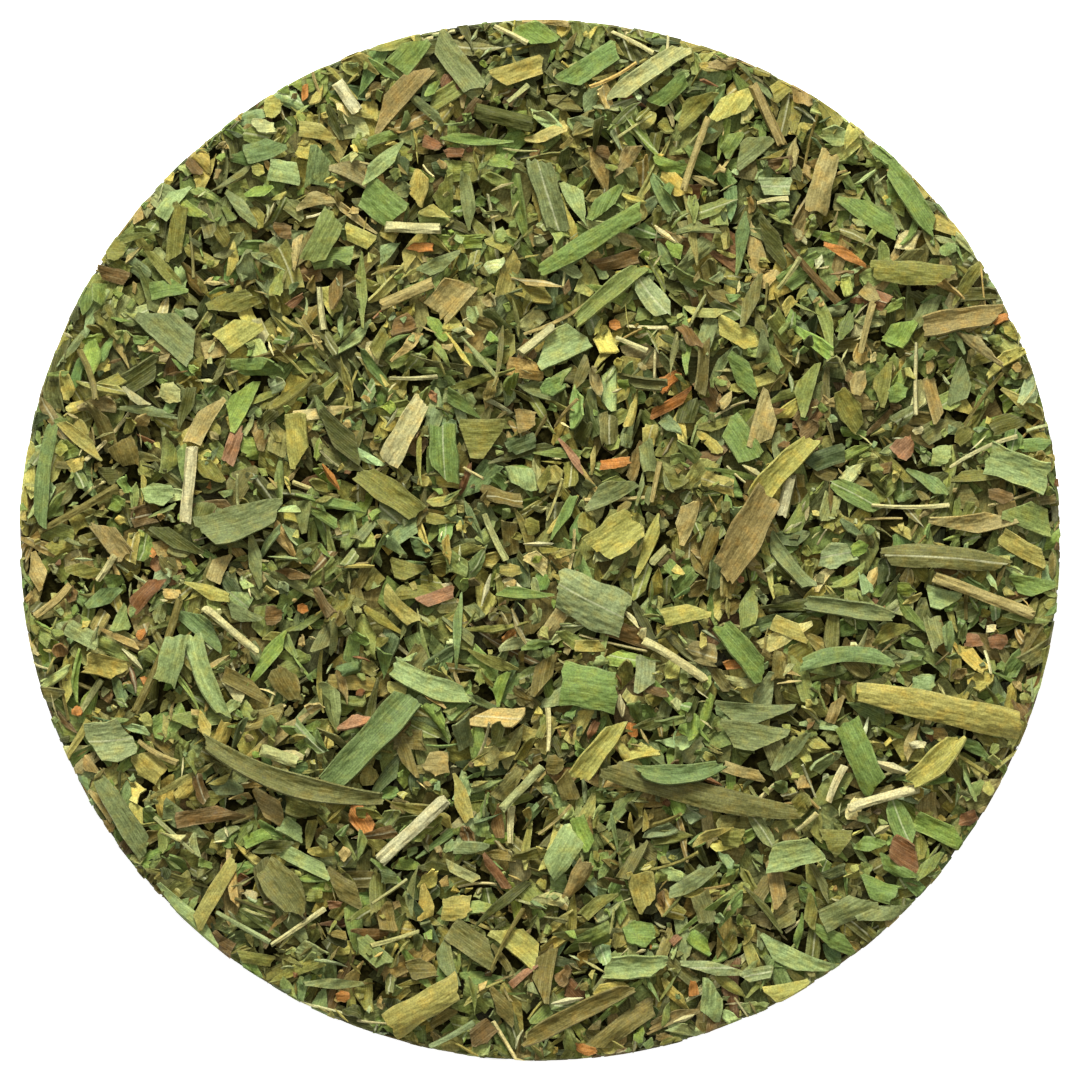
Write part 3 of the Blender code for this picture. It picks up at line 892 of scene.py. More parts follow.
def along_stations(values, share):
    """Smooth values between the stations, at shares from 0 to 1."""
    at = np.linspace(0, 1, len(values))
    degree = min(4, len(values) - 1)
    return np.stack([np.polyval(np.polyfit(at, column, degree), share) for column in values.T], -1)


def tint_of(colour, draw, spread):
    """A piece's own shade of a colour."""
    base = np.array(colour_of(colour)[:])
    level = math.exp(draw.normal(0, spread))
    warmth = draw.normal(0, spread * 0.35)
    return np.clip(base * level * (1 + warmth, 1, 1 - warmth * 1.4), 0.004, 0.9)


def dress_blade(name, colour, draw):
    """One long leaf piece, modelled to its node's sections."""
    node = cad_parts[name]
    centres, edges = stations_of(node, 6)
    length = float(np.linalg.norm(centres[-1] - centres[0]))
    square = min(1.0, 3.2 * MM / length)

    def slanted_ends():
        for end in (-1, 1):
            angle = draw.uniform(-0.9, 0.9)
            reach = 0.5 - 0.12 * square
            cut_off((end * reach, 0, 0), (end * math.cos(angle), math.sin(angle) * 0.7 * square, 0))

    thing = new_sheet(max(10, int(length / COLUMN_STEP)), 5, slanted_ends)
    form = bmesh.new()
    form.from_mesh(thing.data)
    edge = np.array([float(point.is_boundary) for point in form.verts])
    flat = np.array([point.co[:] for point in form.verts])
    form.free()
    ended = (np.abs(flat[:, 0]) > 0.4) & (edge > 0)
    flat[:, 0] += ended * draw.uniform(-1, 1, len(flat)) * 0.24 * MM / length
    share = flat[:, 0] + 0.5
    sway = draw.uniform(0, 6)
    slow, quick = np.sin(5 * share + 5 * flat[:, 1] + sway), np.sin(13 * share - 7 * flat[:, 1] + 2 * sway)
    across = 2 * flat[:, 1] * (1 + 0.09 * slow + 0.05 * quick)
    half = along_stations(edges, np.clip(share, 0, 1)) * SLIMMER.get(name, 1.0)
    middle = along_stations(centres, np.clip(share, -0.02, 1.02))
    width = np.linalg.norm(half, axis=1)
    curl = draw.choice([-0.8, 1, 1]) * draw.uniform(0.12, 0.5)
    twist, phase = draw.uniform(-0.25, 0.25), draw.uniform(0, 6)
    lift = (across**2 - 0.35) * width * curl + across * width * twist * (share - 0.5) * 2
    lift += 0.07 * MM * np.sin(share * length / MM * 0.9 + phase) * np.cos(2.2 * across + phase)
    lift += 0.04 * MM * np.sin(share * length / MM * 2.3 + 2 * phase + 2.5 * across)
    points = middle + half * across[:, None]
    points[:, 2] += lift + PUT_DOWN
    thing.data.vertices.foreach_set("co", points.astype(np.float32).ravel())
    thing.data.update()
    give_wall(thing, DRESSED_THICKNESS)
    both = np.tile(flat, (2, 1))
    v = both[:, 1] * 2 * np.tile(width, 2) / MM + (0.0 if name in WITH_MIDRIB else draw.uniform(3, 40))
    coords = np.stack([both[:, 0] * length / MM + draw.uniform(0, 300), v], -1)
    return finish_piece(thing, name, np.tile(edge, 2), coords, tint_of(colour, draw, 0.04), "veined")


def dress_stalk(name, colour, draw):
    """One stalk or stem, ridged, broken off raggedly, and split open where the photograph shows it."""
    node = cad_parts[name]
    centres, halves = stations_of(node, 8)
    length = float(np.linalg.norm(centres[-1] - centres[0]))
    thick = 2 * float(np.linalg.norm(halves, axis=1).mean())
    direction = (centres[-1] - centres[0]) / length
    side = np.cross([0, 0, 1], direction)
    side /= np.linalg.norm(side)
    up = np.cross(direction, side)
    sides = 14
    thing = new_rod(sides, max(8, int(length / RING_STEP)))
    unit = np.array([v.co[:] for v in thing.data.vertices])
    around = np.arctan2(unit[:, 2], unit[:, 1])
    radial = np.hypot(unit[:, 1], unit[:, 2]) * 2
    share = unit[:, 0] + 0.5
    size = 1 - 0.1 * (np.rint(around * sides / (2 * math.pi)) % 2) + 0.05 * np.sin(9 * share + 3 * around)
    if name in SPLIT_STALKS:  # a groove runs in from one end, as in a stalk that has split
        groove = np.exp(-(((around - 1.5) / 0.28) ** 2)) * np.clip(1.4 - 1.9 * share, 0, 1)
        size = size * (1 - 0.55 * groove)
    ended = (np.abs(unit[:, 0]) > 0.49) & (radial > 0.5)
    share = share + (
        ended * draw.uniform(-1, 0.2, len(unit)) * np.sign(unit[:, 0]) * min(0.06, 0.5 * MM / length)
    )
    sideways, upwards = unit[:, 1] * size * thick, unit[:, 2] * size * thick * 0.86
    points = along_stations(centres, np.clip(share, 0, 1)) + sideways[:, None] * side + upwards[:, None] * up
    thing.data.vertices.foreach_set("co", points.astype(np.float32).ravel())
    thing.data.update()
    coords = np.stack([share * length / MM + draw.uniform(0, 300), NO_MIDRIB + around * thick / 2 / MM], -1)
    return finish_piece(thing, name, np.zeros(len(unit)), coords, tint_of(colour, draw, 0.04), "straw")


def finish_piece(thing, name, margin, coords, tint, material):
    """Names a piece that stands for a node and gives it its tint, coordinates and material."""
    mesh = thing.data
    thing.name = mesh.name = "dressed_" + name
    limit = settings().radius
    points = np.empty(len(mesh.vertices) * 3, np.float32)
    mesh.vertices.foreach_get("co", points)
    points = points.reshape(-1, 3)
    reach = np.hypot(points[:, 0], points[:, 1])
    points[:, :2] *= np.where(reach > limit, limit / reach, 1)[:, None]
    mesh.vertices.foreach_set("co", points.ravel())
    colours = np.concatenate([np.broadcast_to(tint, (len(margin), 3)), margin[:, None]], -1)
    attribute = mesh.attributes.new("tint", "FLOAT_COLOR", "POINT")
    attribute.data.foreach_set("color", colours.astype(np.float32).ravel())
    while mesh.uv_layers:
        mesh.uv_layers.remove(mesh.uv_layers[0])
    corners = np.empty(len(mesh.loops), np.int32)
    mesh.loops.foreach_get("vertex_index", corners)
    mesh.uv_layers.new(name="leaf").data.foreach_set("uv", coords[corners].astype(np.float32).ravel())
    mesh.update()
    smooth(thing, 45)
    return keep(thing, material, (name,))


def ceiling_under(thing, pile):
    """Marks the cells below a piece, so that the heap stays under it."""
    points = np.array([v.co for v in thing.data.vertices])
    tree = surface_tree(thing.data)
    low = pile.cells(*points[:, :2].min(axis=0))
    high = pile.cells(*points[:, :2].max(axis=0))
    for i in range(max(0, int(low[0]) - 1), min(pile.count, int(high[0]) + 2)):
        for j in range(max(0, int(low[1]) - 1), min(pile.count, int(high[1]) + 2)):
            under = tree.ray_cast(Vector((pile.x[i, j], pile.y[i, j], 0)), Vector((0, 0, 1)))[0]
            if under is not None:
                pile.ceiling[i, j] = min(pile.ceiling[i, j], under.z)
                pile.taken[i, j] = True


class TARRAGON_OT_long_pieces(bpy.types.Operator):
    """Models the long leaf pieces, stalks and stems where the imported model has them"""

    bl_idname = "tarragon.long_pieces"
    bl_label = "Long pieces"

    def execute(self, context):
        draw = np.random.default_rng(settings().seed + 1)
        for family, colours in NODE_COLOURS.items():
            for index, colour in enumerate(colours, 1):
                name = f"{family}_{index:02d}"
                dress = dress_stalk if family in ("stalk", "stem") else dress_blade
                piece = dress(name, colour, draw)
                ceiling_under(piece, SCENE["pile"])
        return {"FINISHED"}


# ---------------------------------------------------------------- the heap

# Shares of the colours among the flakes
LEAF_MIX = {
    "olive": 15, "olive_yellow": 9, "green": 14, "olive_green": 16, "light_green": 7, "grey_green": 9,
    "dark_olive": 10, "yellow_green": 7, "grey_olive": 9, "tan": 5, "tan_brown": 4, "brown": 3,
    "blue_green": 5, "brown_olive": 7, "bright_green": 3, "pale_green": 3, "straw_green": 2.5,
    "red_brown": 1.0, "orange": 0.25, "straw": 1.5, "dark_teal": 3, "cream": 0.3, "pink": 0.2,
}
MIDRIB_SHARE = 0.12
STRAW_MIX = {"straw": 34, "cream": 8, "tan": 18, "straw_green": 24, "brown_olive": 12, "olive_yellow": 10}


def pick(draw, mix):
    names = list(mix)
    weights = np.array([mix[name] for name in names], float)
    return names[draw.choice(len(names), p=weights / weights.sum())]


def random_lay(draw, length, width, colour, solid, curl, spread=0.16):
    """A copy's own bends and tint; its place is filled in when it has settled."""
    sign = draw.choice([-1, 1])
    return dict(
        turn=draw.uniform(0, 2 * math.pi),
        length=length,
        width=width,
        thick=width if solid else settings().leaf_thickness * draw.uniform(0.8, 1.4),
        roll=sign * draw.uniform(0.3 * curl, 1.3 * curl),
        arch=draw.choice([-1, 1, 1]) * draw.uniform(0.03, 0.7),
        sweep=draw.normal(0, 0.02),
        twist=draw.normal(0, 0.35),
        crumple=0 if solid else draw.uniform(0.05, 0.28) * MM * min(1.0, width / (1.5 * MM)),
        phase=draw.uniform(0, 6.2),
        tint=tint_of(colour, draw, spread),
        midrib=draw.uniform(3, 60),
    )


# One layer of the heap. Each flake goes to the lowest of a few places that are tried, as long as the
# pile there is no more than so far above its target. Contact is the share of the ground under a flake
# that it clears.
Layer = namedtuple("Layer", "name count sizes tries curl tilt above contact material")


def painted_depth_shade(tint, depth):
    """A tint with painted shade for its depth in millimetres: what lies deep is painted darker and browner, as
    the shadow in the gaps would make it.
    """
    shade = np.clip(1.0 - 0.07 * depth - 0.12 * depth * abs(depth), 0.1, 1.0)
    return tint * shade * (1, 0.98, 0.12 + 0.88 * shade)


def heap_up(heaps, pile, draw, layer):
    """Drops flakes where the pile lacks most, until the count is reached or the tries run out."""
    weights = np.array([weight for _, weight, _, _ in layer.sizes])
    laid = 0
    for _ in range(layer.count * 2):
        if laid >= layer.count:
            break
        x, y, lacking = pile.lowest_of(draw, layer.tries)
        if lacking < -layer.above:
            continue
        kind, _, lengths, widths = layer.sizes[draw.choice(len(weights), p=weights / weights.sum())]
        solid = kind in SOLID_KINDS
        length = draw.uniform(*lengths) * MM
        width = min(draw.uniform(*widths) * MM, 0.95 * length)
        colour = pick(draw, STRAW_MIX if solid else LEAF_MIX)
        lay = random_lay(draw, length, width, colour, solid, 2.0 if kind == "curl" else layer.curl)
        if draw.random() < MIDRIB_SHARE:
            lay["midrib"] = 0.0
        rested = pile.settle(
            lay, x, y, layer.contact, (draw.normal(0, layer.tilt), draw.normal(0, layer.tilt))
        )
        if rested is not None:
            # Painted shade: flakes that lie deeper below the surface get a darker, browner tint
            depth = (pile.target[pile.cells(x, y)] - rested.z) / MM
            tint = painted_depth_shade(rested.tint, depth)
            heaps[solid].add(kind, int(draw.integers(VARIANTS)), rested._replace(tint=tint))
            laid += 1


def keep_heaps(heaps, leaves, straws, material="veined", floor=None):
    """Turns the leaves and the straws that were laid into two pieces."""
    keep(heaps[False].build(leaves, floor), material)
    if heaps[True].lays:
        keep(heaps[True].build(straws, floor), "straw")


HEART_LIFT = 0.5 * MM  # the heart stands on the underside flakes
ROOM_UNDER_PIECES = 0.15 * MM


class TARRAGON_OT_heart(bpy.types.Operator):
    """Models the heart that shows between the flakes; its near-black colour is painted shade"""

    bl_idname = "tarragon.heart"
    bl_label = "Matted heart"

    def execute(self, context):
        bed = settings()
        draw = np.random.default_rng(bed.seed)
        deselect_all()
        bpy.ops.mesh.primitive_cylinder_add(
            vertices=120,
            radius=bed.heart_radius,
            depth=bed.heart_height - HEART_LIFT,
            end_fill_type="TRIFAN",
            location=(0, 0, (bed.heart_height + HEART_LIFT) / 2),
        )
        thing = bpy.context.object
        thing.name = thing.data.name = "matted_heart"
        bpy.ops.object.transform_apply(location=True, rotation=True, scale=True)
        bpy.ops.object.mode_set(mode="EDIT")
        bpy.ops.mesh.select_all(action="SELECT")
        for depth in (0.25, 0.5, 0.75):
            bpy.ops.mesh.bisect(plane_co=(0, 0, depth * bed.heart_height), plane_no=(0, 0, 1))
            bpy.ops.mesh.select_all(action="SELECT")
        bpy.ops.mesh.subdivide(number_cuts=3)
        bpy.ops.object.mode_set(mode="OBJECT")
        for point in thing.data.vertices:
            inside = bed.heart_radius - math.hypot(point.co.x, point.co.y)
            if 0.001 * MM < point.co.z < bed.heart_height - 0.001 * MM and inside < 0.1 * MM:
                point.co.x *= 1 - draw.uniform(0, 0.008)
                point.co.y *= 1 - draw.uniform(0, 0.008)
            elif point.co.z > 0.5 * bed.heart_height and inside > 0.3 * MM:
                point.co.z += draw.uniform(-0.3, 0.3) * MM
        keep(thing, "heart")
        return {"FINISHED"}


SOLID_KINDS = ("stalk", "stem", "splinter")
DEEP_SIZES = (("plain", 60, (2.5, 6.0), (1.5, 3.4)), ("scrap", 40, (1.8, 4.0), (1.5, 3.2)))
LOWER_SIZES = (
    ("strip", 30, (2.6, 6.0), (1.0, 2.3)),
    ("blade", 12, (4.0, 9.0), (0.8, 1.6)),
    ("tip", 14, (3.0, 6.5), (0.9, 2.0)),
    ("torn", 24, (1.4, 3.6), (1.0, 2.4)),
    ("curl", 12, (2.5, 6.0), (1.1, 2.4)),
    ("stem", 4, (3.0, 8.0), (0.3, 0.55)),
)
UPPER_SIZES = (
    ("strip", 26, (2.0, 5.2), (0.7, 1.9)),
    ("blade", 14, (3.6, 8.5), (0.5, 1.3)),
    ("tip", 14, (2.4, 6.0), (0.6, 1.6)),
    ("leaf", 6, (2.4, 4.6), (0.8, 1.7)),
    ("torn", 20, (1.2, 3.2), (0.8, 2.0)),
    ("curl", 18, (2.5, 6.5), (0.9, 2.0)),
    ("stalk", 1.5, (2.2, 6.0), (0.6, 1.0)),
    ("stem", 5, (3.0, 8.0), (0.3, 0.55)),
)
FINE_SIZES = (
    ("tip", 20, (1.6, 3.6), (0.45, 1.0)),
    ("needle", 22, (1.4, 4.2), (0.3, 0.7)),
    ("scrap", 18, (0.7, 1.8), (0.5, 1.2)),
    ("torn", 16, (1.0, 2.2), (0.7, 1.5)),
    ("stem", 5, (2.2, 5.5), (0.22, 0.4)),
    ("splinter", 8, (1.0, 2.8), (0.18, 0.45)),
)
FINEST_SIZES = (
    ("needle", 30, (0.9, 2.6), (0.22, 0.5)),
    ("scrap", 40, (0.5, 1.3), (0.4, 0.9)),
    ("torn", 20, (0.8, 1.6), (0.5, 1.1)),
    ("splinter", 8, (0.8, 2.2), (0.15, 0.35)),
)


class TARRAGON_OT_heap(bpy.types.Operator):
    """Heaps the loose flakes on the heart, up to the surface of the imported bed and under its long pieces"""

    bl_idname = "tarragon.heap"
    bl_label = "Heap of flakes"

    def execute(self, context):
        bed, pile = settings(), SCENE["pile"]
        draw = np.random.default_rng(bed.seed + 2)
        pile.target = np.minimum(pile.target, pile.ceiling - ROOM_UNDER_PIECES)
        for layer in (
            Layer("deep", bed.deep_flakes, DEEP_SIZES, 10, 0.4, 0.12, -1.6 * MM, 0.9, "plain"),
            Layer("lower", bed.lower_flakes, LOWER_SIZES, 5, 1.2, 0.3, 0.3 * MM, 0.88, "veined"),
            Layer("upper", bed.upper_flakes, UPPER_SIZES, 3, 1.5, 0.46, 0.3 * MM, 0.88, "veined"),
            Layer("fine", bed.fine_flakes, FINE_SIZES, 3, 1.2, 0.55, 0.3 * MM, 0.82, "veined"),
            Layer("finest", bed.finest_flakes, FINEST_SIZES, 3, 1.0, 0.55, 0.3 * MM, 0.78, "plain"),
        ):
            heaps = {False: Heap(), True: Heap()}
            heap_up(heaps, pile, draw, layer)
            keep_heaps(heaps, layer.name + "_flakes", layer.name + "_straws", layer.material)
        return {"FINISHED"}


RIM_TOP = 7.0 * MM  # low enough that the rim's flakes don't show edge on from above


class TARRAGON_OT_rim(bpy.types.Operator):
    """Stands flakes round the side, as a dish's wall would press them"""

    bl_idname = "tarragon.rim"
    bl_label = "Rim flakes"

    def execute(self, context):
        bed = settings()
        draw = np.random.default_rng(bed.seed + 3)
        heaps = {False: Heap(), True: Heap()}
        for index in range(bed.rim_flakes):
            around = 2 * math.pi * (index + draw.uniform(-0.5, 0.5)) / bed.rim_flakes * 7 % (2 * math.pi)
            kind = ("strip", "torn", "blade", "torn", "strip", "scrap", "stem", "tip")[int(draw.integers(8))]
            solid = kind == "stem"
            length = draw.uniform(2.2, 7.0) * MM
            width = draw.uniform(0.4, 0.7) * MM if solid else min(draw.uniform(1.2, 3.2) * MM, 0.9 * length)
            lay = random_lay(draw, length, width, pick(draw, STRAW_MIX if solid else LEAF_MIX), solid, 0.3)
            lean = draw.normal(0, 0.35)
            rise = abs(math.sin(lean)) * length / 2 + width / 2 * abs(math.cos(lean))
            height = rise + draw.random() * max(0.2 * MM, RIM_TOP - 2 * rise)
            # Painted shade: each rim flake's tint is darkened at random, against the light that the glowing
            # floor throws on the side
            lay["tint"] = lay["tint"] * draw.uniform(0.3, 0.85)
            reach = bed.radius - draw.uniform(0.1, 0.95) * MM
            variant = int(draw.integers(VARIANTS))
            upright = draw.uniform(1.0, 5.0) * draw.choice([-1, 1])  # its across axis points up the wall
            lay["turn"] = around + math.pi / 2
            lay["arch"] = -length / bed.radius * draw.uniform(0.4, 1.4)
            lay["roll"] *= 0.4
            x, y = reach * math.cos(around), reach * math.sin(around)
            heaps[solid].add(kind, variant, Lay(x=x, y=y, z=height, lean_u=lean, lean_v=upright, **lay))
        keep_heaps(heaps, "rim_flakes", "rim_straws", floor=0.05 * MM)
        return {"FINISHED"}


class TARRAGON_OT_underside(bpy.types.Operator):
    """Spreads the flakes that the bed stands on"""

    bl_idname = "tarragon.underside"
    bl_label = "Underside flakes"

    def execute(self, context):
        bed = settings()
        draw = np.random.default_rng(bed.seed + 4)
        heap = Heap()
        for index in range(bed.base_flakes):
            reach = (bed.radius - 0.5 * MM) * math.sqrt((index + 0.5) / bed.base_flakes)
            around = index * math.pi * (3 - math.sqrt(5))  # the golden angle spreads them evenly
            kind = ("strip", "torn", "torn", "scrap", "tip")[int(draw.integers(5))]
            length = draw.uniform(2.6, 7.0) * MM
            width = min(draw.uniform(1.8, 3.8) * MM, 0.9 * length)
            lay = random_lay(draw, length, width, pick(draw, LEAF_MIX), False, 0.15)
            lay["arch"] *= 0.3
            variant = int(draw.integers(VARIANTS))
            x, y, z = reach * math.cos(around), reach * math.sin(around), draw.uniform(0.1, 0.45) * MM
            leans = {"lean_u": draw.normal(0, 0.05), "lean_v": draw.normal(0, 0.08)}
            heap.add(kind, variant, Lay(x=x, y=y, z=z, **leans, **lay))
        keep(heap.build("underside_flakes", 0.01 * MM), "veined")
        return {"FINISHED"}
